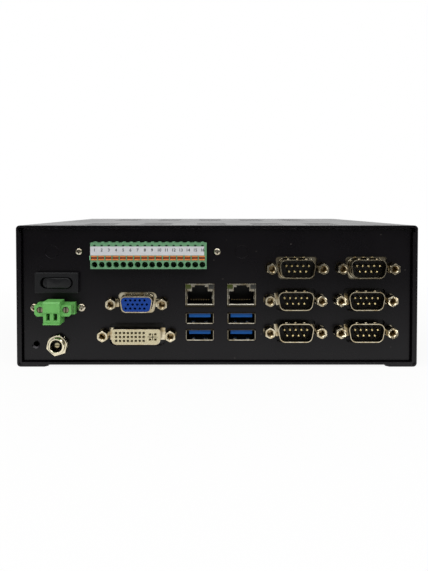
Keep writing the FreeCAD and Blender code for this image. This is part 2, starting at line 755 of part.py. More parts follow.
def dsub_shell(x, z, width, height, corner, face):
    """Drawn D-shaped shell on a full flange."""
    tube = dsub_skin(x, z, width, height, corner, (-DSUB_PROUD, face))
    plate = flange_plate(x, z, DSUB_SCREWS, DSUB_FLANGE_HEIGHT, face)
    skirt = rooted(join([plate, tube]), tube, x, z, face)
    return skirt.cut(d_shape(x, z, width, height, corner, (-DSUB_PROUD, face + DSUB_FLANGE)))


def stacked_shell(x, z, face):
    """Drawn D-shaped shell with a tab for each jackscrew, let into its housing."""
    reach = (-DSUB_PROUD, face + DSUB_FLANGE)
    tube = dsub_skin(x, z, SERIAL_WIDTH, SERIAL_HEIGHT, SERIAL_CORNER, reach)
    tabs = flange_plate(x, z, DSUB_SCREWS, DSUB_TAB_HEIGHT, face)
    return join([tube, tabs]).cut(d_shape(x, z, SERIAL_WIDTH, SERIAL_HEIGHT, SERIAL_CORNER, reach))


def serial_shells():
    shells = []
    for x, z, face in dsub_places():
        if z == UPPER_SERIAL_Z:
            shells.append(dsub_shell(x, z, SERIAL_WIDTH, SERIAL_HEIGHT, SERIAL_CORNER, face))
        else:
            shells.append(stacked_shell(x, z, face))
    return Part.makeCompound(shells)


def serial_insert(x, z, face):
    """Moulded face that carries the pins, flush with the flange."""
    return d_shape(x, z, SERIAL_WIDTH, SERIAL_HEIGHT, SERIAL_CORNER, (face, face + DSUB_FLANGE))


def upper_serial_body(x):
    """Moulded body behind an upper connector's flange, standing on the serial board."""
    back = PANEL_BACK + DSUB_FLANGE
    top = UPPER_SERIAL_Z + DSUB_FLANGE_HEIGHT / 2
    block = box(around(x, SERIAL_BODY_WIDTH), (back, back + SERIAL_BODY_DEPTH), (SERIAL_BOARD_TOP, top))
    return join([block, serial_insert(x, UPPER_SERIAL_Z, PANEL_BACK)])


def stacked_serial_body(x):
    """Moulded body of two stacked connectors on the mainboard, its front flush round their shells."""
    face = PANEL_BACK + SERIAL_STACK_SETBACK
    back = face + DSUB_FLANGE
    top = SERIAL_ROWS[-1] + DSUB_FLANGE_HEIGHT / 2
    block = box(around(x, SERIAL_BODY_WIDTH), (face, back + SERIAL_BODY_DEPTH), (BOARD_TOP, top))
    for z in SERIAL_ROWS:
        block = block.cut(dsub_skin(x, z, SERIAL_WIDTH, SERIAL_HEIGHT, SERIAL_CORNER, (face, back)))
        block = block.cut(box(around(x, SERIAL_BODY_WIDTH), (face, back), around(z, DSUB_TAB_HEIGHT)))
    return join([block] + [serial_insert(x, z, face) for z in SERIAL_ROWS])


def serial_bodies():
    bodies = []
    for x in SERIAL_COLUMNS:
        bodies += [stacked_serial_body(x), upper_serial_body(x + UPPER_SERIAL_SHIFT)]
    return Part.makeCompound(bodies)


def serial_pins():
    """Five pins over four in each serial connector, their tips tapered."""
    pins = []
    taper, radius = SERIAL_PIN_TAPER, SERIAL_PIN_RADIUS
    for x, z, face in dsub_places():
        tip = -DSUB_PROUD + SERIAL_PIN_SHY
        for count, rise in ((5, 0.5), (4, -0.5)):
            for i in range(count):
                place = x + (i - (count - 1) / 2) * SERIAL_PIN_PITCH
                height = z + rise * SERIAL_PIN_ROWS
                point = cone(place, height, (radius - taper, radius), (tip, tip + taper))
                pins.append(join([point, cylinder(place, height, radius, (tip + taper, face))]))
    return Part.makeCompound(pins)


def vga_shell():
    return dsub_shell(VIDEO_X, VGA_Z, VGA_WIDTH, VGA_HEIGHT, VGA_CORNER, PANEL_BACK)


def vga_insert():
    front = -DSUB_PROUD + VGA_INSERT_SHY
    insert = d_shape(
        VIDEO_X, VGA_Z, VGA_WIDTH, VGA_HEIGHT, VGA_CORNER, (front, PANEL_BACK + DSUB_FLANGE)
    )
    holes = []
    for row in (1, 0, -1):
        shift = VGA_HOLE_PITCH / 4 if row == 0 else -VGA_HOLE_PITCH / 4
        for i in range(5):
            x = VIDEO_X + shift + (i - 2) * VGA_HOLE_PITCH
            holes.append(cylinder(x, VGA_Z + row * VGA_HOLE_ROWS, VGA_HOLE, (front, front + VGA_HOLE_DEPTH)))
    return insert.cut(Part.makeCompound(holes))


def dvi_outline(grow, y):
    """The DVI connector's rounded outline, its lower corners more so."""
    corners = rectangle(VIDEO_X, DVI_Z, DVI_WIDTH + 2 * grow, DVI_HEIGHT + 2 * grow)
    low, high = DVI_LOWER_CORNER + grow, DVI_UPPER_CORNER + grow
    return prism(corners, [low, low, high, high], y)


def dvi_shell():
    """Drawn shell with a tab for each jackscrew, let into its housing."""
    reach = (-DVI_PROUD, PANEL_BACK + DSUB_FLANGE)
    tabs = flange_plate(VIDEO_X, DVI_Z, DVI_SCREWS, DSUB_TAB_HEIGHT, PANEL_BACK)
    return join([dvi_outline(DVI_WALL, reach), tabs]).cut(dvi_outline(0, reach))


def dvi_insert():
    """Insert with 24 square holes, and four more round a cross of two slots."""
    insert = dvi_outline(0, (-DVI_PROUD, PANEL_BACK + DSUB_FLANGE))
    deep = (-DVI_PROUD, -DVI_PROUD + DVI_HOLE_DEPTH)
    holes = []
    for i in range(DVI_HOLE_COLUMNS):
        x = VIDEO_X - DVI_FIRST_COLUMN + i * DVI_HOLE_PITCH
        for row in (-1, 0, 1):
            z = DVI_Z + row * DVI_HOLE_PITCH
            holes.append(box(around(x, DVI_HOLE), deep, around(z, DVI_HOLE)))
    cross = VIDEO_X + DVI_CROSS
    for x in around(cross, DVI_CROSS_HOLES_ACROSS):
        for z in around(DVI_Z, DVI_CROSS_HOLES_UP):
            holes.append(box(around(x, DVI_HOLE), deep, around(z, DVI_HOLE)))
    wide = box(around(cross, DVI_CROSS_WIDTH), deep, around(DVI_Z, DVI_CROSS_SLOT))
    high = box(around(cross, DVI_CROSS_SLOT), deep, around(DVI_Z, DVI_CROSS_HEIGHT))
    holes.append(join([wide, high]))
    return insert.cut(Part.makeCompound(holes))


def video_body():
    """Moulded body of both video connectors on the mainboard, its front flush round the DVI shell."""
    back = PANEL_BACK + DSUB_FLANGE
    depth = (back, back + VIDEO_BODY_DEPTH)
    middle = DVI_Z + VIDEO_BODY_RISE
    lower = box(around(VIDEO_X, VIDEO_BODY_WIDTH), (PANEL_BACK, depth[1]), (BOARD_TOP, middle))
    lower = lower.cut(dvi_outline(DVI_WALL, (PANEL_BACK, back)))
    tabs = box(around(VIDEO_X, VIDEO_BODY_WIDTH), (PANEL_BACK, back), around(DVI_Z, DSUB_TAB_HEIGHT))
    upper = box(around(VIDEO_X, VGA_BODY_WIDTH), depth, (middle, VGA_Z + DSUB_FLANGE_HEIGHT / 2))
    return join([lower.cut(tabs), upper])


def jackscrew(x, z, face):
    """Hexagonal post with a threaded bore, seated on a flange that its shank goes through."""
    post = hexagon(x, z, JACKSCREW_FLATS, (-JACKSCREW_PROUD, face))
    reach = JACKSCREW_FLATS / 2 / math.cos(math.pi / 6)
    shoulder = -JACKSCREW_PROUD + JACKSCREW_TIP
    tip = cone(x, z, (reach - JACKSCREW_TIP, reach), (-JACKSCREW_PROUD, shoulder))
    rest = cylinder(x, z, reach, (shoulder, face))
    post = post.common(join([tip, rest]))
    shank = cylinder(x, z, JACKSCREW_SHANK, (face, face + DSUB_FLANGE + JACKSCREW_SHANK_LENGTH))
    bore = cylinder(x, z, JACKSCREW_BORE, (-JACKSCREW_PROUD, -JACKSCREW_PROUD + JACKSCREW_BORE_DEPTH))
    return join([post, shank]).cut(bore)


def jackscrews():
    screws = []
    for x, z, face in dsub_places():
        screws += [jackscrew(place, z, face) for place in screw_pair(x, DSUB_SCREWS)]
    screws += [jackscrew(place, VGA_Z, PANEL_BACK) for place in screw_pair(VIDEO_X, DSUB_SCREWS)]
    screws += [jackscrew(place, DVI_Z, PANEL_BACK) for place in screw_pair(VIDEO_X, DVI_SCREWS)]
    return Part.makeCompound(screws)


# ---------------------------------------------------------------- LAN and USB sockets
def lan_opening(x, y):
    """Stepped opening for the plug and its latch, wide part down."""
    low = LAN_Z - LAN_HEIGHT / 2 + LAN_OPENING_BOTTOM
    step = low + LAN_OPENING_HEIGHT
    tab = step + LAN_STEP_HEIGHT
    wide = LAN_WIDTH - 2 * LAN_RIM
    blocks = [
        box(around(x, wide), y, (low, step)),
        box(around(x, LAN_STEP_WIDTH), y, (step, tab)),
        box(around(x, LAN_TAB_WIDTH), y, (tab, tab + LAN_TAB_HEIGHT)),
    ]
    return join(blocks)


def light_places(x):
    """X and Z of the two light windows in the socket's upper corners."""
    z = LAN_Z + LAN_HEIGHT / 2 - LAN_RIM / 2 - LAN_LIGHT_HEIGHT / 2
    reach = LAN_WIDTH / 2 - SHIELD_SHEET - LAN_LIGHT_WIDTH / 2
    return [(x - reach, z), (x + reach, z)]


def light_window(x, z, y):
    return box(around(x, LAN_LIGHT_WIDTH), y, around(z, LAN_LIGHT_HEIGHT))


def socket_block(x, wall):
    """Outer form of a stacked socket less a wall: the body behind the panel and the LAN nose through it."""
    top = LAN_Z + LAN_HEIGHT / 2 + SHIELD_TOP
    behind = PANEL_BACK + PORT_FIT
    body = box(
        around(x, SHIELD_WIDTH - 2 * wall),
        (behind + wall, behind + SHIELD_DEPTH - wall),
        (BOARD_TOP + wall, top - wall),
    )
    nose = box(
        around(x, LAN_WIDTH - 2 * wall),
        (-PORT_PROUD + wall, behind + wall),
        around(LAN_Z, LAN_HEIGHT - 2 * wall),
    )
    return join([body, nose])


def usb_tube(x, z):
    """Outer form of a USB port's tube."""
    return slab(x, z, USB_WIDTH, USB_HEIGHT, USB_CORNER, (-PORT_PROUD, USB_DEPTH))


def port_shield(x):
    """Folded shield round a stacked socket, with a stepped LAN opening and two USB tubes."""
    inside = socket_block(x, SHIELD_SHEET)
    shield = socket_block(x, 0).cut(inside)
    shield = join([shield] + [usb_tube(x, z) for z in USB_ROWS])
    for z in USB_ROWS:
        shield = shield.cut(usb_hollow(x, z, (-PORT_PROUD, USB_DEPTH)))
    face = (-PORT_PROUD, -PORT_PROUD + SHIELD_SHEET)
    shield = shield.cut(lan_opening(x, face))
    for place, z in light_places(x):
        shield = shield.cut(light_window(place, z, face))
    return shield


def usb_hollow(x, z, y):
    """Inside of a USB port's tube."""
    wide, high = USB_WIDTH - 2 * USB_WALL, USB_HEIGHT - 2 * USB_WALL
    return slab(x, z, wide, high, max(USB_CORNER - USB_WALL, USB_INNER_CORNER), y)


def usb_floor():
    """Where the sockets of the USB ports end."""
    return -PORT_PROUD + USB_SOCKET_DEPTH


def port_body(x):
    """Moulded body inside a shield, with the LAN socket and pockets for its lights."""
    body = socket_block(x, SHIELD_SHEET)
    for z in USB_ROWS:
        body = body.cut(usb_tube(x, z))
    front = -PORT_PROUD + SHIELD_SHEET
    body = body.cut(lan_opening(x, (front, front + LAN_SOCKET_DEPTH)))
    for place, z in light_places(x):
        body = body.cut(light_window(place, z, (front, front + LAN_LIGHT_DEPTH)))
    return body


def port_shields():
    return Part.makeCompound([port_shield(x) for x in LAN_COLUMNS])


def port_bodies():
    """The bodies, and the blocks that close the USB ports behind their tongues."""
    stops = [usb_hollow(x, z, (usb_floor(), USB_DEPTH)) for x in LAN_COLUMNS for z in USB_ROWS]
    return Part.makeCompound([port_body(x) for x in LAN_COLUMNS] + stops)


def lan_lights():
    """Two light windows in each LAN socket, flush with the shield's face."""
    deep = (-PORT_PROUD, -PORT_PROUD + SHIELD_SHEET + LAN_LIGHT_DEPTH)
    windows = [light_window(place, z, deep) for x in LAN_COLUMNS for place, z in light_places(x)]
    return Part.makeCompound(windows)


def lan_contacts():
    """Eight sprung wires on the floor of each LAN socket, rising towards the front."""
    low = LAN_Z - LAN_HEIGHT / 2 + LAN_OPENING_BOTTOM
    front = -PORT_PROUD + SHIELD_SHEET
    back = front + LAN_SOCKET_DEPTH
    wires = []
    for x in LAN_COLUMNS:
        for i in range(LAN_CONTACTS):
            place = x + (i - (LAN_CONTACTS - 1) / 2) * LAN_CONTACT_PITCH
            left = place - LAN_CONTACT / 2
            points = [
                Vector(left, back, low),
                Vector(left, back - LAN_CONTACT_FOOT, low),
                Vector(left, back - LAN_CONTACT_REACH, low + LAN_CONTACT_RISE),
                Vector(left, back - LAN_CONTACT_REACH, low + LAN_CONTACT_RISE + LAN_CONTACT),
                Vector(left, back, low + LAN_CONTACT),
                Vector(left, back, low),
            ]
            wires.append(Part.Face(Part.makePolygon(points)).extrude(Vector(LAN_CONTACT, 0, 0)))
    return Part.makeCompound(wires)


def usb_tongues():
    """Blue tongue under the roof of each USB port."""
    depth = (-PORT_PROUD + USB_TONGUE_SHY, usb_floor())
    tongues = []
    for x in LAN_COLUMNS:
        for z in USB_ROWS:
            top = z + USB_HEIGHT / 2 - USB_WALL - USB_TONGUE_DROP
            tongues.append(box(around(x, USB_TONGUE_WIDTH), depth, (top - USB_TONGUE_HEIGHT, top)))
    return Part.makeCompound(tongues)


# ---------------------------------------------------------------- terminal block
def terminal_header():
    """Header behind the panel: a trough for the plug between two ears, standing on its board."""
    depth = (PANEL_BACK, PANEL_BACK + HEADER_DEPTH)
    low, high = around(TERMINAL_Z, HEADER_HEIGHT)
    reach = TERMINAL_SCREWS / 2 + HEADER_EAR
    ears = box(around(TERMINAL_X, 2 * reach), (PANEL_BACK, PANEL_BACK + HEADER_EAR_DEPTH), (low, high))
    wall = (HEADER_HEIGHT - TERMINAL_HEIGHT) / 2
    body = box(around(PLUG_MIDDLE_X, PLUG_LENGTH_X + 2 * wall), depth, (low, high))
    header = join([ears, body])
    wide, tall = PLUG_LENGTH_X + 2 * TERMINAL_FIT, TERMINAL_HEIGHT + 2 * TERMINAL_FIT
    insertion = (PANEL_BACK, PANEL_BACK + TERMINAL_INSERTION)
    header = header.cut(box(around(PLUG_MIDDLE_X, wide), insertion, around(TERMINAL_Z, tall)))
    for x in screw_pair(TERMINAL_X, TERMINAL_SCREWS):
        bore = cylinder(x, TERMINAL_SCREW_Z, PANEL_SCREW_BORE, (PANEL_BACK, PANEL_SHEET + PANEL_SCREW_LENGTH))
        header = header.cut(bore)
    return header


def strip_place():
    left = PLUG_MIDDLE_X - PLUG_LENGTH_X / 2
    bottom = TERMINAL_Z + STRIP_BOTTOM
    return (left, left + STRIP_LENGTH), (bottom, bottom + STRIP_HEIGHT)


def terminal_plug():
    """Push-in plug: a wire funnel, a release button's slot and a test slot for each pole."""
    face = -TERMINAL_PROUD
    plug = box(
        around(PLUG_MIDDLE_X, PLUG_LENGTH_X),
        (face, PANEL_BACK + TERMINAL_INSERTION),
        around(TERMINAL_Z, TERMINAL_HEIGHT),
    )
    strip_x, strip_z = strip_place()
    cutters = [box(strip_x, (face, face + STRIP_SHEET), strip_z)]
    slot_width, slot_height = BUTTON_WIDTH + 2 * BUTTON_GAP, BUTTON_HEIGHT + 2 * BUTTON_GAP
    slot_depth = BUTTON_LENGTH + BUTTON_TRAVEL - BUTTON_PROUD + BUTTON_GAP
    slot_z = around(TERMINAL_Z - BUTTON_DROP, slot_height)
    test_z = around(TERMINAL_Z + TEST_SLOT_RISE, TEST_SLOT_HEIGHT)
    for x in POLE_COLUMNS:
        cutters.append(box(around(x - BUTTON_SHIFT, slot_width), (face, face + slot_depth), slot_z))
        cutters.append(cylinder(x, TERMINAL_Z - WIRE_HOLE_DROP, WIRE_HOLE, (face, face + WIRE_HOLE_DEPTH)))
        cutters.append(box(around(x, TEST_SLOT_WIDTH), (face, face + TEST_SLOT_DEPTH), test_z))
    top = TERMINAL_Z + TERMINAL_HEIGHT / 2
    for x in POLE_COLUMNS[:-1]:
        edge = x + POLE_PITCH / 2
        corners = [(edge - POLE_NOTCH, top), (edge, top - POLE_NOTCH), (edge + POLE_NOTCH, top)]
        cutters.append(prism(corners, 0, (face, 0)))
    return plug.cut(Part.makeCompound(cutters))


def marker_strip():
    strip_x, strip_z = strip_place()
    return box(strip_x, (-TERMINAL_PROUD, -TERMINAL_PROUD + STRIP_SHEET), strip_z)


def release_button(x):
    front = -TERMINAL_PROUD - BUTTON_PROUD
    height = around(TERMINAL_Z - BUTTON_DROP, BUTTON_HEIGHT)
    return box(around(x - BUTTON_SHIFT, BUTTON_WIDTH), (front, front + BUTTON_LENGTH), height)


def panel_screw_places():
    """X, Z and head radius of the screws that hold both headers to the panel."""
    terminals = [(x, TERMINAL_SCREW_Z, TERMINAL_SCREW_HEAD) for x in screw_pair(TERMINAL_X, TERMINAL_SCREWS)]
    return terminals + [(x, POWER_Z, PANEL_SCREW_HEAD) for x in screw_pair(POWER_X, POWER_SCREWS)]


def panel_screws():
    """Domed cross-head screws."""
    screws = []
    for x, z, radius in panel_screw_places():
        rim = -PANEL_SCREW_HEAD_HEIGHT + PANEL_SCREW_CROWN
        crown = cone(x, z, (radius - PANEL_SCREW_EDGE, radius), (-PANEL_SCREW_HEAD_HEIGHT, rim))
        head = cylinder(x, z, radius, (rim, 0))
        shank = cylinder(x, z, PANEL_SCREW_BORE, (0, PANEL_SHEET + PANEL_SCREW_LENGTH))
        screws.append(join([crown, head, shank]))
    return Part.makeCompound(screws)


# ---------------------------------------------------------------- power input
def power_header():
    """Header whose open shroud comes through the panel, with ears behind the panel for its screws."""
    low, high = around(POWER_Z, POWER_HEADER_HEIGHT)
    depth = (-POWER_HEADER_PROUD, PANEL_BACK + POWER_HEADER_DEPTH)
    shroud = box(around(POWER_X, POWER_HEADER_WIDTH), depth, (low, high))
    reach = POWER_SCREWS / 2 + POWER_EAR
    ears = box(around(POWER_X, 2 * reach), (PANEL_BACK, PANEL_BACK + POWER_EAR_DEPTH), (low, high))
    header = join([shroud, ears])
    header = header.cut(plug_nose())
    for x in screw_pair(POWER_X, POWER_SCREWS):
        bore = cylinder(x, POWER_Z, PANEL_SCREW_BORE, (PANEL_BACK, PANEL_SHEET + PANEL_SCREW_LENGTH))
        header = header.cut(bore)
    for x in screw_pair(POWER_X, PLUG_SCREWS):
        bore = cylinder(x, POWER_Z + PLUG_SCREW_RISE, PLUG_SCREW_BORE, (-POWER_HEADER_PROUD, 0))
        header = header.cut(bore)
    return header


def plug_nose():
    """The part of the plug inside the header's shroud."""
    depth = (-POWER_HEADER_PROUD, -POWER_HEADER_PROUD + PLUG_NOSE_DEPTH)
    height = POWER_HEADER_HEIGHT - 2 * POWER_HEADER_WALL
    return box(around(POWER_X, PLUG_WIDTH), depth, around(POWER_Z, height))


def power_plug():
    """Two-pole plug with a raised upper face, wire entries below it and a screw flange on each side."""
    face, back = -PLUG_PROUD, -POWER_HEADER_PROUD
    top, bottom = POWER_Z + PLUG_ABOVE, POWER_Z - PLUG_BELOW
    step = POWER_Z - PLUG_FACE_DROP
    inner = face + PLUG_FACE_STEP
    side = [
        (back, top),
        (face + PLUG_CHAMFER, top),
        (face, top - PLUG_CHAMFER),
        (face, step),
        (inner, step - PLUG_FACE_STEP),
        (inner, bottom + PLUG_LIP),
        (face, bottom + PLUG_LIP),
        (face, bottom),
        (back, bottom),
    ]
    left = POWER_X - PLUG_WIDTH / 2
    points = [Vector(left, y, z) for y, z in side]
    body = Part.Face(Part.makePolygon(points + points[:1])).extrude(Vector(PLUG_WIDTH, 0, 0))
    corner = PLUG_FLANGE_CORNER
    left, right = around(POWER_X, PLUG_FLANGE_WIDTH)
    low, high = around(POWER_Z, PLUG_FLANGE_HEIGHT)
    corners = [(left + corner, low), (right - corner, low), (right, low + corner), (right, high), (left, high)]
    corners.append((left, low + corner))
    flange = prism(corners, 0, (-PLUG_FLANGE_PROUD, back))
    plug = join([body, flange, plug_nose()])
    for i in range(PLUG_POLES):
        x = POWER_X + (i - (PLUG_POLES - 1) / 2) * POLE_PITCH
        entry = box(
            around(x, PLUG_ENTRY_WIDTH),
            (inner, inner + PLUG_ENTRY_DEPTH),
            around(POWER_Z - PLUG_ENTRY_DROP, PLUG_ENTRY_HEIGHT),
        )
        plug = plug.cut(entry)
        plug = plug.cut(upright(x, face + CLAMP_SCREW_BACK, CLAMP_SCREW, clamp_bore()))
    for x in screw_pair(POWER_X, PLUG_SCREWS):
        z = POWER_Z + PLUG_SCREW_RISE
        plug = plug.cut(cylinder(x, z, PLUG_SCREW_BORE, (-PLUG_FLANGE_PROUD, back)))
        plug = plug.cut(cylinder(x, z, PLUG_SCREW_HEAD, (-PLUG_FLANGE_PROUD, plug_screw_seat())))
    return plug


def plug_screw_seat():
    """Where the flange screws' heads sit inside the plug's flange."""
    return -PLUG_FLANGE_PROUD + PLUG_SCREW_SUNK + PANEL_SCREW_HEAD_HEIGHT


def clamp_bore():
    """Low and high ends of the clamp screws' bores, up to the wire entries."""
    bottom = POWER_Z - PLUG_BELOW
    return bottom, POWER_Z - PLUG_ENTRY_DROP - PLUG_ENTRY_HEIGHT / 2


def power_plug_screws():
    """Two flange screws that hold plug to header, and two clamp screws in the plug's underside."""
    screws = []
    for x in screw_pair(POWER_X, PLUG_SCREWS):
        z = POWER_Z + PLUG_SCREW_RISE
        head = cylinder(x, z, PLUG_SCREW_HEAD, (-PLUG_FLANGE_PROUD + PLUG_SCREW_SUNK, plug_screw_seat()))
        shank = cylinder(x, z, PLUG_SCREW_BORE, (plug_screw_seat(), 0))
        screws.append(join([head, shank]))
    bottom, top = clamp_bore()
    for i in range(PLUG_POLES):
        x = POWER_X + (i - (PLUG_POLES - 1) / 2) * POLE_PITCH
        reach = (bottom + CLAMP_SCREW_SUNK, min(bottom + CLAMP_SCREW_SUNK + CLAMP_SCREW_LENGTH, top))
        screws.append(upright(x, -PLUG_PROUD + CLAMP_SCREW_BACK, CLAMP_SCREW, reach))
    return Part.makeCompound(screws)


# ---------------------------------------------------------------- DC jack
def jack_barrel():
    """Threaded barrel clamped from behind, its mouth chamfered."""
    back = PANEL_BACK + JACK_DEPTH
    rim = -JACK_PROUD + JACK_RIM
    tip = cone(POWER_X, JACK_HEIGHT, (JACK_THREAD - JACK_RIM, JACK_THREAD), (-JACK_PROUD, rim))
    thread = cylinder(POWER_X, JACK_HEIGHT, JACK_THREAD, (rim, back))
    collar = cylinder(POWER_X, JACK_HEIGHT, JACK_FLANGE, (PANEL_BACK, PANEL_BACK + JACK_FLANGE_DEPTH))
    barrel = join([tip, thread, collar])
    return barrel.cut(cylinder(POWER_X, JACK_HEIGHT, JACK_MOUTH, (-JACK_PROUD, back)))


def jack_insulator():
    """Moulded core that closes the barrel behind the socket and carries the pin."""
    floor = -JACK_PROUD + JACK_SOCKET_DEPTH
    return cylinder(POWER_X, JACK_HEIGHT, JACK_MOUTH, (floor, PANEL_BACK + JACK_DEPTH + 1))


def jack_pin():
    """Split centre pin."""
    tip = -JACK_PROUD + JACK_PIN_SHY
    pin = cylinder(POWER_X, JACK_HEIGHT, JACK_PIN, (tip, -JACK_PROUD + JACK_SOCKET_DEPTH))
    slit = around(JACK_HEIGHT, JACK_PIN_SLIT)
    return pin.cut(box(around(POWER_X, 2 * JACK_PIN), (tip, tip + JACK_PIN_SLIT_DEPTH), slit))


def jack_nut():
    """Hexagon nut on the barrel, over a round washer."""
    front = -JACK_WASHER_SHEET - JACK_NUT
    nut = hexagon(POWER_X, JACK_HEIGHT, JACK_NUT_FLATS, (front, -JACK_WASHER_SHEET), JACK_NUT_TURN)
    reach = JACK_NUT_FLATS / 2 / math.cos(math.pi / 6)
    edge = JACK_NUT_BEVEL
    bevel = cone(POWER_X, JACK_HEIGHT, (reach - edge, reach), (front, front + edge / 2))
    rest = cylinder(POWER_X, JACK_HEIGHT, reach, (front + edge / 2, -JACK_WASHER_SHEET))
    nut = nut.common(join([bevel, rest]))
    return nut.cut(cylinder(POWER_X, JACK_HEIGHT, JACK_THREAD, (front, 0)))


def jack_washer():
    washer = cylinder(POWER_X, JACK_HEIGHT, JACK_WASHER, (-JACK_WASHER_SHEET, 0))
    return washer.cut(cylinder(POWER_X, JACK_HEIGHT, JACK_THREAD, (-JACK_WASHER_SHEET, 0)))


# ---------------------------------------------------------------- rocker switch
def pivot_y():
    return -SWITCH_PROUD + ROCKER_PIVOT


def stadium(length, height, y):
    """Rounded-end bar along Y about the switch's middle."""
    return slab(POWER_X, SWITCH_Z, length, height, height / 2 - 1e-3, y)


def switch_housing():
    """Bezel on the panel and body through it, with a long well for the rocker and holes for its pivot."""
    bezel = slab(POWER_X, SWITCH_Z, SWITCH_WIDTH, SWITCH_HEIGHT, SWITCH_EDGE, (-SWITCH_PROUD, 0))
    face = [e for e in bezel.Edges if max(abs(v.Point.y + SWITCH_PROUD) for v in e.Vertexes) < 1e-6]
    bezel = bezel.makeFillet(SWITCH_EDGE * 0.8, face)
    body = box(
        around(POWER_X, SWITCH_BODY_WIDTH),
        (0, PANEL_BACK + SWITCH_BODY_DEPTH),
        around(SWITCH_Z, SWITCH_BODY_HEIGHT),
    )
    well = stadium(SWITCH_WELL_LENGTH, SWITCH_WELL_HEIGHT, (-SWITCH_PROUD, pivot_y() + SWITCH_WELL_FLOOR))
    reach = SWITCH_WELL_HEIGHT / 2 + ROCKER_PIN_REACH + ROCKER_GAP
    holes = upright(POWER_X, pivot_y(), ROCKER_PIN + ROCKER_PIN_FIT, around(SWITCH_Z, 2 * reach))
    return join([bezel, body] + switch_terminals()).cut(well).cut(holes)


def switch_rocker():
    """Rocker with a shallow valley across its middle, at rest with its left end pressed in."""
    half = ROCKER_LENGTH / 2
    tilt = ROCKER_SWING / 2
    valley = -ROCKER_PIVOT + ROCKER_VALLEY
    crest = valley - half * math.tan(tilt)
    height = SWITCH_WELL_HEIGHT - 2 * ROCKER_GAP
    keel = ROCKER_PIN + ROCKER_KEEL
    profile = [
        (-half, crest),
        (0, valley),
        (half, crest),
        (half, -keel),
        (2 * keel, keel),
        (-2 * keel, keel),
        (-half, -keel),
    ]
    points = [Vector(POWER_X + x, pivot_y() + y, SWITCH_Z - height / 2) for x, y in profile]
    rocker = Part.Face(Part.makePolygon(points + points[:1])).extrude(Vector(0, 0, height))
    rocker = rocker.common(stadium(ROCKER_LENGTH, height, (-2 * SWITCH_PROUD, pivot_y() + 2 * keel)))
    reach = SWITCH_WELL_HEIGHT / 2 + ROCKER_PIN_REACH
    pivot = upright(POWER_X, pivot_y(), ROCKER_PIN, around(SWITCH_Z, 2 * reach))
    rocker = join([rocker, pivot])
    rocker.rotate(Vector(POWER_X, pivot_y(), SWITCH_Z), Vector(0, 0, 1), -math.degrees(tilt))
    return rocker


def switch_terminals():
    back = PANEL_BACK + SWITCH_BODY_DEPTH
    reach = (back, back + SWITCH_BLADE_LENGTH)
    places = screw_pair(POWER_X, SWITCH_BLADE_PITCH)
    return [box(around(x, SWITCH_BLADE_SHEET), reach, around(SWITCH_Z, SWITCH_BLADE_WIDTH)) for x in places]


# ---------------------------------------------------------------- boards
def board_edges():
    """Low and high ends of the mainboard along X and Y."""
    left, right = VIDEO_X - BOARD_LEFT, SERIAL_COLUMNS[-1] + BOARD_RIGHT
    return (left, right), (BOARD_START, BOARD_START + BOARD_DEPTH)


def corner_places():
    """The four screws at the mainboard's corners, clear of the panel's lower flange."""
    edges_x, edges_y = board_edges()
    front = PANEL_FLANGE + SPACER_FLATS
    return [
        (x, y)
        for x in (edges_x[0] + SPACER_INSET, edges_x[1] - SPACER_INSET)
        for y in (front, edges_y[1] - SPACER_INSET)
    ]


def serial_board_edges():
    left = SERIAL_COLUMNS[0] + UPPER_SERIAL_SHIFT - UPPER_BOARD_MARGIN
    right = SERIAL_COLUMNS[-1] + UPPER_SERIAL_SHIFT + UPPER_BOARD_MARGIN
    return (left, right), (BOARD_START, BOARD_START + UPPER_BOARD_DEPTH)


def terminal_board_edges():
    return around(PLUG_MIDDLE_X, PLUG_LENGTH_X), (BOARD_START, BOARD_START + UPPER_BOARD_DEPTH)


def spacer_rows():
    return [SPACER_NEAR, BOARD_START + UPPER_BOARD_DEPTH - SPACER_INSET]


def serial_spacer_places():
    edges_x = serial_board_edges()[0]
    return [(x, y) for x in (edges_x[0] + SPACER_INSET, edges_x[1] - SPACER_INSET) for y in spacer_rows()]


def terminal_spacer_places():
    """Under the terminal board, where the mainboard lies below it."""
    left = board_edges()[0][0] + SPACER_INSET
    right = terminal_board_edges()[0][1] - 2 * SPACER_INSET
    return [(x, y) for x in (left, right) for y in spacer_rows()]


def board(edges, z, places):
    plate = box(edges[0], edges[1], (z, z + BOARD))
    for x, y in places:
        plate = plate.cut(upright(x, y, SPACER_BORE, (z, z + BOARD)))
    return plate


def mainboard():
    return board(board_edges(), BOARD_TOP - BOARD, corner_places())


def serial_board():
    return board(serial_board_edges(), SERIAL_BOARD_Z, serial_spacer_places())


def terminal_board():
    return board(terminal_board_edges(), TERMINAL_BOARD_Z, terminal_spacer_places())


def spacer(x, y, z):
    """Hexagonal spacer along Z, bored from its upper end."""
    reach = SPACER_FLATS / 2 / math.cos(math.pi / 6)
    turns = [i * math.pi / 3 for i in range(7)]
    points = [Vector(x + reach * math.cos(a), y + reach * math.sin(a), z[0]) for a in turns]
    body = Part.Face(Part.makePolygon(points)).extrude(Vector(0, 0, z[1] - z[0]))
    return body.cut(upright(x, y, SPACER_BORE, (z[1] - BOARD_SCREW_LENGTH + BOARD, z[1])))


def board_spacers():
    """Short spacers from tray to mainboard, tall ones from mainboard to the two upper boards."""
    spacers = [spacer(x, y, (TRAY_TOP, BOARD_TOP - BOARD)) for x, y in corner_places()]
    spacers += [spacer(x, y, (BOARD_TOP, SERIAL_BOARD_Z)) for x, y in serial_spacer_places()]
    spacers += [spacer(x, y, (BOARD_TOP, TERMINAL_BOARD_Z)) for x, y in terminal_spacer_places()]
    return Part.makeCompound(spacers)


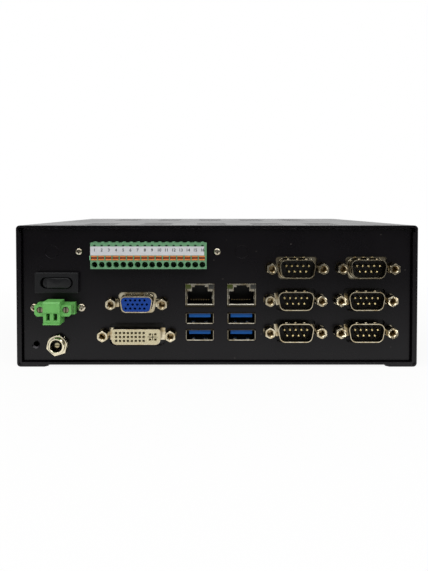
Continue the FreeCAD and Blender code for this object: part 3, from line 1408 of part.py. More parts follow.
def board_screws():
    screws = []
    for places, top in (
        (corner_places(), BOARD_TOP),
        (serial_spacer_places(), SERIAL_BOARD_TOP),
        (terminal_spacer_places(), TERMINAL_BOARD_TOP),
    ):
        for x, y in places:
            head = upright(x, y, BOARD_SCREW_HEAD, (top, top + BOARD_SCREW_HEAD_HEIGHT))
            shank = upright(x, y, SPACER_BORE, (top - BOARD_SCREW_LENGTH, top))
            screws.append(join([head, shank]))
    return Part.makeCompound(screws)


def processor():
    return box(around(CHIP_RIGHT, CHIP), around(CHIP_BACK, CHIP), (BOARD_TOP, BOARD_TOP + CHIP_HEIGHT))


def heat_sink():
    """Finned extrusion on the processor, its fins running from panel to panel."""
    floor = BOARD_TOP + CHIP_HEIGHT
    depth = around(CHIP_BACK, SINK_DEPTH)
    plates = [box(around(CHIP_RIGHT, SINK_WIDTH), depth, (floor, floor + SINK_BASE))]
    pitch = (SINK_WIDTH - SINK_FIN) / (SINK_FINS - 1)
    for i in range(SINK_FINS):
        x = CHIP_RIGHT + (i - (SINK_FINS - 1) / 2) * pitch
        plates.append(box(around(x, SINK_FIN), depth, (floor, floor + SINK_HEIGHT)))
    return join(plates)


def memory_place():
    """Low and high ends of the memory socket along X and Y, on the left of the heat sink."""
    right = CHIP_RIGHT - SINK_WIDTH / 2 - MEMORY_CLEAR
    return (right - MEMORY_SOCKET_WIDTH, right), around(CHIP_BACK, MEMORY_LENGTH)


def memory_module():
    """Memory card held flat above the mainboard by its socket."""
    x, y = memory_place()
    rise = BOARD_TOP + MEMORY_RISE
    reach = (x[1] - MEMORY_SOCKET_WIDTH / 2 - MEMORY_WIDTH, x[1] - MEMORY_SOCKET_WIDTH / 2)
    return box(reach, (y[0] + 1, y[1] - 1), (rise, rise + MEMORY_HEIGHT))


def storage_place():
    left = CHIP_RIGHT + SINK_WIDTH / 2 + STORAGE_CLEAR
    return (left, left + STORAGE_WIDTH), around(CHIP_BACK, STORAGE_LENGTH)


def board_sockets():
    """Sockets on the mainboard that hold the memory module and the storage card."""
    x, y = memory_place()
    memory = box(x, y, (BOARD_TOP, BOARD_TOP + MEMORY_SOCKET_HEIGHT)).cut(memory_module())
    x, y = storage_place()
    depth = (y[1] - STORAGE_GRIP, y[1] - STORAGE_GRIP + STORAGE_SOCKET)
    storage = box(x, depth, (BOARD_TOP, BOARD_TOP + STORAGE_SOCKET_HEIGHT)).cut(storage_card())
    return Part.makeCompound([memory, storage])


def storage_card():
    """Storage card held above the mainboard by its socket."""
    x, y = storage_place()
    rise = BOARD_TOP + STORAGE_RISE
    return box((x[0] + 0.5, x[1] - 0.5), y, (rise, rise + STORAGE_HEIGHT))


# ---------------------------------------------------------------- all nodes
def nodes():
    parts = {
        "top_cover": top_cover(),
        "base_tray": base_tray(),
        "io_panel": io_panel(),
        "front_panel": front_panel(),
        "casing_screws": casing_screws(),
        "mount_inserts": mount_inserts(),
        "panel_screws": panel_screws(),
        "jackscrews": jackscrews(),
        "serial_shells": serial_shells(),
        "serial_bodies": serial_bodies(),
        "serial_pins": serial_pins(),
        "vga_shell": vga_shell(),
        "vga_insert": vga_insert(),
        "dvi_shell": dvi_shell(),
        "dvi_insert": dvi_insert(),
        "video_body": video_body(),
        "port_shields": port_shields(),
        "port_bodies": port_bodies(),
        "lan_contacts": lan_contacts(),
        "lan_lights": lan_lights(),
        "usb_tongues": usb_tongues(),
        "terminal_header": terminal_header(),
        "terminal_plug": terminal_plug(),
        "marker_strip": marker_strip(),
        "power_header": power_header(),
        "power_plug": power_plug(),
        "power_plug_screws": power_plug_screws(),
        "dc_jack_barrel": jack_barrel(),
        "dc_jack_insulator": jack_insulator(),
        "dc_jack_pin": jack_pin(),
        "dc_jack_nut": jack_nut(),
        "dc_jack_washer": jack_washer(),
        "switch_housing": switch_housing(),
        "switch_rocker": switch_rocker(),
        "mainboard": mainboard(),
        "serial_board": serial_board(),
        "terminal_board": terminal_board(),
        "board_spacers": board_spacers(),
        "board_screws": board_screws(),
        "processor": processor(),
        "heat_sink": heat_sink(),
        "board_sockets": board_sockets(),
        "memory_module": memory_module(),
        "storage_card": storage_card(),
    }
    for number, x in enumerate(POLE_COLUMNS, start=1):
        parts[f"release_button_{number:02d}"] = release_button(x)
    return parts


os.makedirs("parts", exist_ok=True)
shift = Vector(0, (PLUG_PROUD - BACK) / 2, 0)
for name, shape in nodes().items():
    shape.translate(shift)
    shape.exportStep(f"parts/{name}.step")
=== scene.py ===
"""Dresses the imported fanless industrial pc: a finish for each solid, the fine parts, and the studio."""

import math

import bmesh
import bpy
from mathutils import Matrix, Vector


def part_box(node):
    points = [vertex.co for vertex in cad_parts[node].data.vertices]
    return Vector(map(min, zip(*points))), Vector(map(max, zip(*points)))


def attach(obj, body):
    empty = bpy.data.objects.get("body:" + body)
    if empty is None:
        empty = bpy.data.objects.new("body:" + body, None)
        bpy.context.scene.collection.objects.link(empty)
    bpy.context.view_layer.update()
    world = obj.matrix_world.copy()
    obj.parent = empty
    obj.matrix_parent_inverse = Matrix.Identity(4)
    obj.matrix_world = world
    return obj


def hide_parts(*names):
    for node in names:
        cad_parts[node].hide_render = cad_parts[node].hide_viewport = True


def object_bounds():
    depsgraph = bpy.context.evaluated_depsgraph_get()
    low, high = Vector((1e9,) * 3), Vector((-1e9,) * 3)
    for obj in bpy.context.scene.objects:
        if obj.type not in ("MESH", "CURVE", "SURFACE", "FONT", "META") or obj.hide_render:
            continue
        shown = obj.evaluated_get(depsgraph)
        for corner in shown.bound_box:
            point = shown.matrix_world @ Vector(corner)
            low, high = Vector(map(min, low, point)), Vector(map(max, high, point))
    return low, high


bl_info = {
    "name": "Fanless Industrial PC",
    "version": (1, 0, 0),
    "blender": (4, 5, 0),
    "location": "3D View > Sidebar > Industrial PC",
    "description": "Finishes and fine parts for a fanless industrial pc in a folded steel casing",
    "category": "Object",
}

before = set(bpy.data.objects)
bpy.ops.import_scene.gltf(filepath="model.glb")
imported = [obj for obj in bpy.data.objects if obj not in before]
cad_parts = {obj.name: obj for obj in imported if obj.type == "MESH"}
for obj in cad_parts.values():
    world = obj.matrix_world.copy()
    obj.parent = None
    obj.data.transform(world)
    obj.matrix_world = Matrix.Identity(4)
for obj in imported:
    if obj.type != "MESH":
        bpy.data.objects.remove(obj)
CAD_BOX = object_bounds()

MM = 0.001
COMPUTER = "computer"
POLES = 16
POLE_SHIFT = 0.25 * MM  # how far a pole's number, crest and slot are to the right of its button
SPARE = 0.1 * MM  # how far a cutter stands out of the piece that it cuts
SHELL_RIM = 0.12 * MM  # the bright rim of a connector's drawn shell
FLANGE = 0.75 * MM  # room in front of the panel for a shell's bright flange
BORE_MOUTH = 0.35 * MM  # how much wider a jackscrew's bore is at its mouth, and where its thread starts
FINGER_PLACE = 0.42  # height of the LAN shield's side fingers, as a share of the face's height
TYPE_SIZE = 1.4  # type size for a figure of height 1
FINGER_ROOT = 0.8  # share of the LAN shield's rim in front of which a side finger starts
RIM_SHADE_FROM = 0.55  # share of the LAN shield's rim from which it curls back at the sides, painted dark there as shade
SINK_STEPS = 8  # steps in which the rocker's face curves down
CAMERA_TILT = 1.5  # degrees that the camera looks down
CAMERA_SHIFT = (0.014, -0.11)  # of the lens, in shares of the picture's longer side
# A domed head from its middle to its neck: shares of its radius, and of its height from the front.
DOME = ((0, 0), (0.45, 0.03), (0.75, 0.14), (0.93, 0.36), (1, 0.62), (1, 1))
DUST = "#57534F"  # dust and light grains on the coat
PAINTED_FOLD_HIGHLIGHT = "#5A565C"  # painted highlight on the coat where a folded sheet faces up
WHITE = (1, 1, 1, 1)


def linear(code):
    """An sRGB hex colour as linear red, green and blue."""
    parts = [int(code[i : i + 2], 16) / 255 for i in (1, 3, 5)]
    return [c / 12.92 if c <= 0.04045 else ((c + 0.055) / 1.055) ** 2.4 for c in parts]


# ------------------------------------------------------------------ places, from the frame
def islands(node):
    """The (lowest, highest) corners of each separate solid in a node, from left to right, then upwards."""
    mesh = bmesh.new()
    mesh.from_mesh(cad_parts[node].data)
    bmesh.ops.remove_doubles(mesh, verts=mesh.verts, dist=1e-3 * MM)
    todo, boxes = set(mesh.verts), []
    while todo:
        reached, waiting = set(), [todo.pop()]
        while waiting:
            vertex = waiting.pop()
            reached.add(vertex)
            for edge in vertex.link_edges:
                other = edge.other_vert(vertex)
                if other in todo:
                    todo.remove(other)
                    waiting.append(other)
        low = Vector([min(v.co[i] for v in reached) for i in range(3)])
        high = Vector([max(v.co[i] for v in reached) for i in range(3)])
        boxes.append((low, high))
    mesh.free()
    return sorted(boxes, key=lambda b: (round(b[0].x, 5), round(b[0].z, 5)))


def along_y(low, high):
    """The front end of a solid's axis along Y."""
    return Vector(((low.x + high.x) / 2, low.y, (low.z + high.z) / 2))


# ------------------------------------------------------------------ modelling
def start():
    """Object mode with nothing selected."""
    if bpy.context.object and bpy.context.object.mode != "OBJECT":
        bpy.ops.object.mode_set(mode="OBJECT")
    bpy.ops.object.select_all(action="DESELECT")


def choose(piece):
    """Object mode with only this piece selected."""
    start()
    piece.select_set(True)
    bpy.context.view_layer.objects.active = piece


def placed(name):
    """Names the new primitive and puts its place, turn and size into its mesh."""
    piece = bpy.context.object
    piece.name = piece.data.name = name
    bpy.ops.object.transform_apply(location=True, rotation=True, scale=True)
    return piece


def block(name, low, high):
    """A cube between two corners, to be shaped further."""
    start()
    low, high = Vector(low), Vector(high)
    bpy.ops.mesh.primitive_cube_add(size=1, location=(low + high) / 2, scale=high - low)
    return placed(name)


def bar(name, place, radius, back, sides=48):
    """A bar along Y from a place backwards; six sides give a hexagon with two corners up and down."""
    start()
    length = back - place.y
    bpy.ops.mesh.primitive_cylinder_add(
        vertices=sides,
        radius=radius,
        depth=length,
        location=(place.x, place.y + length / 2, place.z),
        rotation=(math.pi / 2, 0, 0),
    )
    return placed(name)


def edit(piece, work, domain="", test=None, **inputs):
    """Runs an operation in edit mode: on all of a piece, or on what passes a test in a domain."""
    choose(piece)
    bpy.ops.object.mode_set(mode="EDIT")
    bpy.ops.mesh.select_all(action="SELECT")
    if domain:
        bpy.ops.mesh.select_mode(type=domain)
        bpy.ops.mesh.select_all(action="DESELECT")
        mesh = bmesh.from_edit_mesh(piece.data)
        for item in {"VERT": mesh.verts, "EDGE": mesh.edges, "FACE": mesh.faces}[domain]:
            if test(item):
                item.select_set(True)
        bmesh.update_edit_mesh(piece.data)
    work(**inputs)
    bpy.ops.object.mode_set(mode="OBJECT")
    return piece


def turned(name, profile, axis, steps=48):
    """A turned piece: a profile of (radius, place along Y) spun round an axis along Y through a place."""
    start()
    bpy.ops.mesh.primitive_plane_add(size=MM, location=axis, rotation=(math.pi / 2, 0, 0))
    piece = edit(placed(name), bpy.ops.mesh.merge, type="CENTER")
    bpy.ops.object.mode_set(mode="EDIT")
    bpy.ops.mesh.select_mode(type="VERT")
    bpy.ops.mesh.select_all(action="SELECT")
    radius, along = profile[0]
    bpy.ops.transform.translate(value=(radius, along - axis.y, 0))
    for following, further in profile[1:]:
        move = (following - radius, further - along, 0)
        bpy.ops.mesh.extrude_vertices_move(TRANSFORM_OT_translate={"value": move})
        radius, along = following, further
    bpy.ops.mesh.select_all(action="SELECT")
    bpy.ops.mesh.spin(steps=steps, angle=2 * math.pi, center=axis, axis=(0, 1, 0))
    bpy.ops.mesh.select_all(action="SELECT")
    bpy.ops.mesh.remove_doubles(threshold=2e-3 * MM)
    bpy.ops.mesh.normals_make_consistent(inside=False)
    bpy.ops.object.mode_set(mode="OBJECT")
    return piece


def modify(piece, kind, **choices):
    """Adds a modifier with its settings and applies it."""
    choose(piece)
    modifier = piece.modifiers.new(kind.title(), kind)
    for name, value in choices.items():
        setattr(modifier, name, value)
    bpy.ops.object.modifier_apply(modifier=modifier.name)
    return piece


def carve(piece, cutter, operation="DIFFERENCE"):
    """Cuts a cutter out of a piece, or keeps what the two share, and removes the cutter."""
    modify(piece, "BOOLEAN", operation=operation, solver="EXACT", object=cutter)
    bpy.data.objects.remove(cutter)
    return piece


def rounded(piece, width, segments=3, angle=40):
    """Rounds every edge sharper than an angle."""
    limit = {"limit_method": "ANGLE", "angle_limit": math.radians(angle), "use_clamp_overlap": True}
    return modify(piece, "BEVEL", width=width, segments=segments, **limit)


def smooth(piece, angle=32):
    """Shades a piece smooth but for edges sharper than an angle."""
    choose(piece)
    bpy.ops.object.shade_smooth_by_angle(angle=math.radians(angle))
    return piece


def soft_block(name, low, high, radius):
    """A block with round edges."""
    return smooth(rounded(block(name, low, high), radius))


def above(piece, place):
    """Cuts off what is below a place, and closes the cut."""
    cut = {"plane_co": place, "plane_no": (0, 0, 1), "clear_inner": True, "use_fill": True}
    return edit(piece, bpy.ops.mesh.bisect, **cut)


def together(pieces, name):
    """Joins pieces into one."""
    start()
    for piece in pieces:
        piece.select_set(True)
    bpy.context.view_layer.objects.active = pieces[0]
    bpy.ops.object.join()
    pieces[0].name = pieces[0].data.name = name
    return pieces[0]


def twin(piece, move, name=None):
    """A copy with a mesh of its own, moved."""
    copy = piece.copy()
    copy.data = piece.data.copy()
    copy.data.transform(Matrix.Translation(move))
    copy.name = copy.data.name = name or piece.name
    bpy.context.scene.collection.objects.link(copy)
    return copy


def dress(piece, material, slot, *replaced, body=COMPUTER):
    """Gives a finished piece its material, the body that it moves with and the nodes that it stands for."""
    piece.data.materials.clear()
    piece.data.materials.append(material)
    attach(piece, body)
    if replaced:
        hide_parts(*replaced)
    return piece


def coat(material, *nodes):
    """Gives carried-over nodes their material."""
    for node in nodes:
        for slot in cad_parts[node].material_slots:
            slot.material = material


# ------------------------------------------------------------------ materials
def add(tree, kind, inputs=None, **choices):
    """Adds a shader node with its settings, and sets or links its inputs."""
    node = tree.nodes.new("ShaderNode" + kind)
    for name, value in choices.items():
        setattr(node, name, value)
    for name, value in (inputs or {}).items():
        if isinstance(value, bpy.types.NodeSocket):
            tree.links.new(value, node.inputs[name])
        else:
            node.inputs[name].default_value = value
    return node


def new_material(name):
    """A material with no nodes yet but the place on the object that its textures follow."""
    material = bpy.data.materials.new(name)
    material.use_nodes = True
    tree = material.node_tree
    tree.nodes.clear()
    return material, tree, add(tree, "TexCoord").outputs["Object"]


def rgba(colour, share=1.0):
    """A colour with full alpha, lightened or darkened by a share."""
    return [channel * share for channel in colour[:3]] + [1]


def noise(tree, place, step, detail=2.0, **more):
    """A cloudy pattern that changes about once in a step given in metres."""
    inputs = {"Vector": place, "Scale": 1 / step, "Detail": detail, **more}
    return add(tree, "TexNoise", inputs).outputs["Fac"]


def ramp(tree, value, start, end, low=0.0, high=1.0):
    """Low up to a value's start, high from its end on, and even steps between them."""
    inputs = {"Value": value, "From Min": start, "From Max": end, "To Min": low, "To Max": high}
    return add(tree, "MapRange", inputs).outputs[0]


def reckon(tree, operation, *values):
    """One step of arithmetic on numbers."""
    return add(tree, "Math", dict(enumerate(values)), operation=operation).outputs[0]


def blend(tree, share, first, second):
    """A share of the way from one colour to another."""
    return add(tree, "Mix", {0: share, 6: first, 7: second}, data_type="RGBA").outputs[2]


def axis_of(tree, vector, axis):
    return add(tree, "SeparateXYZ", {0: vector}).outputs[axis]


def softened(tree, radius):
    """The surface's direction, as if its edges had a radius."""
    return add(tree, "Bevel", {"Radius": radius}, samples=4).outputs[0]


def skin(tree, looks, height, strength, depth, **under):
    """Ends a material: its looks, over a bump that follows a height pattern."""
    bump = add(tree, "Bump", {"Height": height, "Strength": strength, "Distance": depth, **under})
    shader = add(tree, "BsdfPrincipled", {**looks, "Normal": bump.outputs[0]})
    add(tree, "OutputMaterial", {"Surface": shader.outputs[0]})


def seen_ray(tree, level):
    """Share of the white background that a ray sees, and how bright: full for rays from the camera and
    through glass, and a level for those from gloss."""
    path = add(tree, "LightPath").outputs
    clear = reckon(tree, "MAXIMUM", path["Is Camera Ray"], path["Is Transmission Ray"])
    gloss = reckon(tree, "MULTIPLY", path["Is Glossy Ray"], level)
    return reckon(tree, "MAXIMUM", clear, path["Is Glossy Ray"]), reckon(tree, "MAXIMUM", clear, gloss)


def powder_coat(name, own, folded=False):
    """Polyester powder coat baked onto folded steel: near black, with a fine orange-peel grain that breaks up
    highlights, lighter along the edges and folds, partly a thinner coat and partly a painted highlight, with
    a few grains of dust. Where a folded sheet faces up it gets a painted highlight, greyer still."""
    material, tree, place = new_material(name)
    colour, soft = own.coat_colour, softened(tree, own.edge)
    drift = noise(tree, place, 24 * MM, 3.0)
    # Dust and light grains about 0.25 mm across, a few millimetres apart.
    dust = add(tree, "TexVoronoi", {"Vector": place, "Scale": 1 / (5.5 * MM), "Randomness": 1.0}).outputs
    speck = ramp(tree, dust["Distance"], 0.022, 0.045, 1.0, 0.0)
    specks = reckon(tree, "MULTIPLY", speck, reckon(tree, "GREATER_THAN", dust["Color"], 0.72))
    flat = add(tree, "NewGeometry").outputs["Normal"]
    turn = add(tree, "VectorMath", {0: soft, 1: flat}, operation="DOT_PRODUCT").outputs["Value"]
    # edges turn lighter: partly wear of the coat, partly a painted highlight
    edge_wear_and_highlight = ramp(tree, turn, 0.98, 0.8, 0.0, 0.5)
    base = blend(tree, drift, rgba(colour, 0.85), rgba(colour, 1.25))
    base = blend(tree, edge_wear_and_highlight, base, rgba(colour, 3.5))
    base = blend(tree, specks, base, rgba(linear(DUST)))
    # painted highlight on the folded panel's faces that turn upwards
    if folded:
        base = blend(tree, ramp(tree, axis_of(tree, flat, "Z"), 0.2, 0.9), base, rgba(linear(PAINTED_FOLD_HIGHLIGHT)))
    rough = ramp(tree, drift, 0.3, 0.7, 0.24, 0.31)
    looks = {"Base Color": base, "Roughness": rough, "IOR": 1.5, "Specular IOR Level": 0.2}
    skin(tree, looks, noise(tree, place, own.grain), own.texture, 0.03 * MM, Normal=soft)
    return material


def plated(name, colour, roughness, tarnish, hollow=0.9 * MM, painted_shade=()):
    """Plated steel: a bright skin over drawn or turned metal, with faint marks along it, duller, browner
    patches where it was handled, and painted shade darkening its recesses. Painted shade lists bands that are
    painted dark as shade: an axis, the places along it between which it is, and how much."""
    material, tree, place = new_material(name)
    patch = noise(tree, place, 2.6 * MM, 3.0, Roughness=0.6)
    stretched = add(tree, "Mapping", {"Vector": place, "Scale": (1.0, 0.12, 1.0)}).outputs[0]
    marks = noise(tree, stretched, 0.25 * MM)
    base = blend(tree, ramp(tree, patch, 0.38, 0.68), rgba(colour), rgba(tarnish))
    # painted shade: recesses, crevices and bores darken by occlusion
    unshaded_share = add(tree, "AmbientOcclusion", {"Distance": hollow}, samples=6).outputs["AO"]
    base = blend(tree, ramp(tree, unshaded_share, 0.25, 0.85), rgba(tarnish, 0.12), base)
    # bands of painted shade along an axis
    for axis, low, high, share in painted_shade:
        near = reckon(tree, "COMPARE", axis_of(tree, place, axis), (low + high) / 2, (high - low) / 2)
        base = blend(tree, reckon(tree, "MULTIPLY", near, share), base, rgba(tarnish, 0.1))
    rough = ramp(tree, marks, 0.3, 0.7, roughness * 0.75, roughness * 1.35)
    looks = {"Base Color": base, "Metallic": 1.0, "Roughness": rough}
    skin(tree, looks, marks, 0.1, 0.02 * MM, Normal=softened(tree, 0.06 * MM))
    return material


def moulded(name, colour, roughness, specular=0.5, sunk=None):
    """Injection-moulded thermoplastic: even colour with a slight cloudiness from the flow of the melt, a
    spark-eroded grain, and edges rounded by the mould. Sunk gives the places along Y between which painted
    shade turns it to a darker colour, as in a groove, and that colour."""
    material, tree, place = new_material(name)
    flow = noise(tree, place, 3.2 * MM)
    base = blend(tree, flow, rgba(colour, 0.9), rgba(colour, 1.1))
    # painted shade from a given depth on, as in a groove
    if sunk:
        start_y, end_y, groove_shade_colour = sunk
        base = blend(tree, ramp(tree, axis_of(tree, place, "Y"), start_y, end_y), base, rgba(groove_shade_colour))
    rough = ramp(tree, flow, 0.3, 0.7, roughness - 0.05, roughness + 0.05)
    looks = {"Base Color": base, "Roughness": rough, "IOR": 1.5, "Specular IOR Level": specular}
    grain = noise(tree, place, 0.16 * MM, 1.0)
    skin(tree, looks, grain, 0.2, 0.012 * MM, Normal=softened(tree, 0.14 * MM))
    return material


def board_mask(name, colour):
    """Glass-epoxy circuit board under solder mask: glossy green, with the tracks a few hundredths proud."""
    material, tree, place = new_material(name)
    shades = {"Color1": rgba(colour, 0.8), "Color2": rgba(colour, 1.2), "Mortar": rgba(colour, 1.8)}
    tracks = add(tree, "TexBrick", {"Vector": place, "Scale": 1 / (12 * MM), "Mortar Size": 0.03, **shades})
    rough = ramp(tree, noise(tree, place, 0.8 * MM), 0, 1, 0.25, 0.45)
    looks = {"Base Color": tracks.outputs["Color"], "Roughness": rough, "IOR": 1.5}
    skin(tree, looks, tracks.outputs["Fac"], 0.4, 0.04 * MM)
    return material


# ------------------------------------------------------------------ what a user can change
def tint(name, description, code):
    return bpy.props.FloatVectorProperty(
        name=name, description=description, subtype="COLOR", size=3, min=0, max=1, default=linear(code)
    )


def span(name, description, millimetres):
    return bpy.props.FloatProperty(
        name=name, description=description, subtype="DISTANCE", min=0, precision=5, default=millimetres * MM
    )


def factor(name, description, share):
    return bpy.props.FloatProperty(
        name=name, description=description, subtype="FACTOR", min=0, max=1, default=share
    )


class CasingSettings(bpy.types.PropertyGroup):
    coat_colour: tint("Coat", "Colour of the powder coat", "#0A080B")
    grain: span("Grain", "Distance between the grains of the coat", 0.42)
    texture: factor("Texture", "How strongly the coat's grain stands out", 0.35)
    edge: span("Edge", "Radius that the coat gives to sharp edges", 0.3)


class MetalSettings(bpy.types.PropertyGroup):
    nickel: tint("Nickel", "Warm plating of shells, flanges and jackscrews", "#D2C9B0")
    nickel_tarnish: tint("Handled nickel", "Its duller patches", "#A69470")
    steel: tint("Steel", "Bright plating of shields, nuts and screws", "#D4CEBE")
    steel_tarnish: tint("Handled steel", "Its duller patches", "#988A6C")
    jack: tint("Jack", "Bright nickel of the power jack", "#D8D0B4")
    pin: tint("Pin", "Split pin of the power jack", "#A8A284")
    # a darker tone painted as shade inside the jackscrews' bores, and on the LAN contacts
    bore: tint("Bore", "Oiled thread in the jackscrews", "#B09C74")
    slotted: tint("Slotted screws", "Dull zinc of the power plug's screws", "#8C8F80")
    light_left: tint("Left light", "Green light window of the LAN sockets", "#363E10")
    light_right: tint("Right light", "Clear light window of the LAN sockets", "#2D2D2A")
    gold: tint("Gold", "Flashed contacts", "#E8D49A")
    brass: tint("Brass", "Spacers between the boards", "#C9A55C")
    aluminium: tint("Aluminium", "Extruded heat sink", "#B9BCC0")


class PlasticSettings(bpy.types.PropertyGroup):
    black: tint("Black", "Connector bodies and switch", "#141416")
    terminal_green: tint("Terminal green", "Push-in terminal plug", "#5D8E67")
    power_green: tint("Power green", "Power plug and its header", "#64AC57")
    blue: tint("Blue", "Insert of the round-cornered video connector", "#04388A")
    port_blue: tint("Port blue", "Tongues of the serial bus ports", "#00519C")
    cream: tint("Cream", "Insert of the wide video connector", "#C4BA98")
    crest_green: tint("Crest green", "Paler crests on the terminal plug", "#80BE90")
    orange: tint("Orange", "Release buttons", "#CC7634")
    # painted shade in the release buttons' tool grooves, not a colour of their own
    groove: tint("Groove", "Tool grooves in the release buttons", "#7A3412")
    strip: tint("Marker strip", "Strip above the release buttons", "#C0C1C4")
    # painted shade in the test slots above the marker strip
    slot_shade: tint("Slot shade", "Dark test contacts above the marker strip", "#12281A")
    figures: tint("Figures", "Numbers on the marker strip", "#24262A")


class ScrewSettings(bpy.types.PropertyGroup):
    jackscrew_tail: span("Jackscrew tail", "Flange and shank behind a jackscrew's post", 3.6)
    jackscrew_bore: span("Jackscrew bore", "Radius of a jackscrew's bore", 1.45)
    jackscrew_depth: span("Bore depth", "Depth of a jackscrew's bore", 4.6)
    jackscrew_chamfer: span("Corner chamfer", "How far a jackscrew's corners are turned down", 0.28)
    thread_pitch: span("Thread pitch", "Pitch of the jackscrews' inner thread", 0.635)
    thread_height: span("Thread height", "Height of the jackscrews' inner thread", 0.26)
    head_height: span("Head height", "Height of the panel screws' domed heads", 1.1)
    shank: span("Shank", "Radius of the panel screws' and flange screws' shanks", 1.0)
    recess_width: span("Recess width", "Width of each arm of a cross recess, and of a slot", 0.55)
    recess_depth: span("Recess depth", "Depth of a cross recess or slot", 0.75)
    slot_head: span("Slotted head", "Height of the flange screws' slotted heads", 1.1)


class JackSettings(bpy.types.PropertyGroup):
    thread: span("Thread", "Outer radius of the power jack's thread", 4.0)
    thread_pitch: span("Thread pitch", "Pitch of the power jack's thread", 0.6)
    thread_height: span("Thread height", "Height of the power jack's thread", 0.22)
    mouth: span("Mouth", "Radius of the power jack's socket", 2.95)
    rim: span("Rim", "Chamfer round the power jack's mouth", 0.4)
    collar_behind: span("Collar place", "Collar's front ahead of the barrel's back", 6.0)
    collar_depth: span("Collar depth", "Thickness of the collar behind the panel", 2.0)
    washer: span("Washer", "Outer radius of the washer under the nut", 4.75)


class SocketSettings(bpy.types.PropertyGroup):
    shell_half: span("Shell", "Half the height of a serial shell", 4.58)
    ear_start: span("Flange end start", "Inner end of the video flange's ends from the insert", 1.6)
    ear_end: span("Flange end", "Their outer end from the insert", 4.4)
    ear_half: span("Flange end height", "Half their height", 1.9)
    ear_sheet: span("Flange end sheet", "Their thickness in front of the panel", 0.3)
    port_height: span("Port height", "Inner height of a serial bus port", 4.7)
    tongue_drop: span("Tongue drop", "Gap between a port's ceiling and its tongue", 0.2)
    port_wall: span("Port wall", "Sheet of a serial bus port", 0.35)
    lan_height: span("LAN height", "Height of a LAN socket's face", 11.4)
    light_outer: span("Light outside", "How far a light window covers the face's outer rim", 0.3)
    light_inner: span("Light inside", "How far it covers the rim on its other sides", 0.12)
    lan_rim: span("LAN rim", "Width of that face's rim", 0.85)
    dimple: span("Dimple", "Radius of the dimples in the connector shells", 0.9)
    dimple_height: span("Dimple height", "How far the dimples stand out", 0.5)
    dimple_pitch: span("Dimple pitch", "Distance between the dimples", 4.4)
    dimple_inset: span("Dimple inset", "Dimples behind the shell's edge", 2.6)
    spring_width: span("Spring width", "Width of the leaf springs in a serial bus port", 1.7)
    spring_length: span("Spring length", "Length of those springs", 4.5)
    spring_rise: span("Spring rise", "How far those springs bow into the port", 0.5)
    spring_pitch: span("Spring pitch", "Distance between the two springs of a port", 6.2)
    finger_width: span("Finger width", "Width of the LAN shield's side fingers", 1.8)
    finger_reach: span("Finger reach", "How far the side fingers stand into the opening", 0.5)
    bar_rise: span("Bar rise", "Ground bar above the LAN opening's lower edge", 0.85)
    bar_height: span("Bar height", "Height of the LAN ground bar", 0.55)


class TerminalSettings(bpy.types.PropertyGroup):
    groove_height: span("Groove height", "Height of the tool groove across a release button", 0.95)
    groove_depth: span("Groove depth", "Depth of the tool groove", 0.5)
    figure_height: span("Figure height", "Height of the pole numbers", 1.42)
    figure_weight: span("Figure weight", "How much bolder the figures are than the plain face", 0.042)
    slot_width: span("Test slot", "Width of the test slots above the marker strip", 1.1)
    slot_height: span("Test slot height", "Height of those slots", 0.7)
    crest_width: span("Crest width", "Width of the crests on the plug's top", 2.1)
    crest_height: span("Crest height", "Height of the crests", 0.36)
    crest_depth: span("Crest depth", "Length of the crests along the plug's top", 1.0)
    latch_reach: span("Latch reach", "How far the latch stands out beside the buttons", 0.45)


class RockerSettings(bpy.types.PropertyGroup):
    paddle_height: span("Paddle height", "Height of the rocker's paddle", 5.0)
    paddle_depth: span("Paddle depth", "Depth of the paddle from its raised end's face", 3.0)
    left_gap: span("Left gap", "How much shorter the rocker is at its pressed end", 0.8)
    right_reach: span("Right reach", "How much longer it is at its raised end", 0.12)
    sink: span("Sink", "How far its left end is pressed in", 1.3)


class StageSettings(bpy.types.PropertyGroup):
    floor_colour: tint("Floor", "Colour of the floor", "#F4F4F2")
    distance: span("Distance", "From the casing's lip to the lens", 264.0)
    offset: span("Offset", "Lens to the left of the casing's middle", 5.35)
    height: span("Height", "Lens above the floor", 77.75)
    lens: bpy.props.FloatProperty(
        name="Lens", description="Focal length for a 36 mm long side", unit="CAMERA", default=34.1
    )
    key_power: bpy.props.FloatProperty(
        name="Key light", description="Power of the large lamp above", unit="POWER", default=6.5
    )
    fill_power: bpy.props.FloatProperty(
        name="Fill light", description="Power of the lamp in front", unit="POWER", default=5.0
    )
    ambient: factor("Ambient", "Strength of the light from all round", 0.3)
    front_level: factor("Behind the lens", "How bright gloss shows the room in front", 0.12)


def settings(group):
    return getattr(bpy.context.scene, "industrial_pc_" + group)


# ------------------------------------------------------------------ operators
class FinishCasing(bpy.types.Operator):
    """Coats the folded casing and its two panels"""

    bl_idname = "industrial_pc.finish_casing"
    bl_label = "Finish Casing"

    def execute(self, context):
        own = settings("casing")
        coat(powder_coat("black_powder_coat", own), "top_cover", "base_tray", "front_panel")
        coat(powder_coat("panel_powder_coat", own, folded=True), "io_panel")
        return {"FINISHED"}


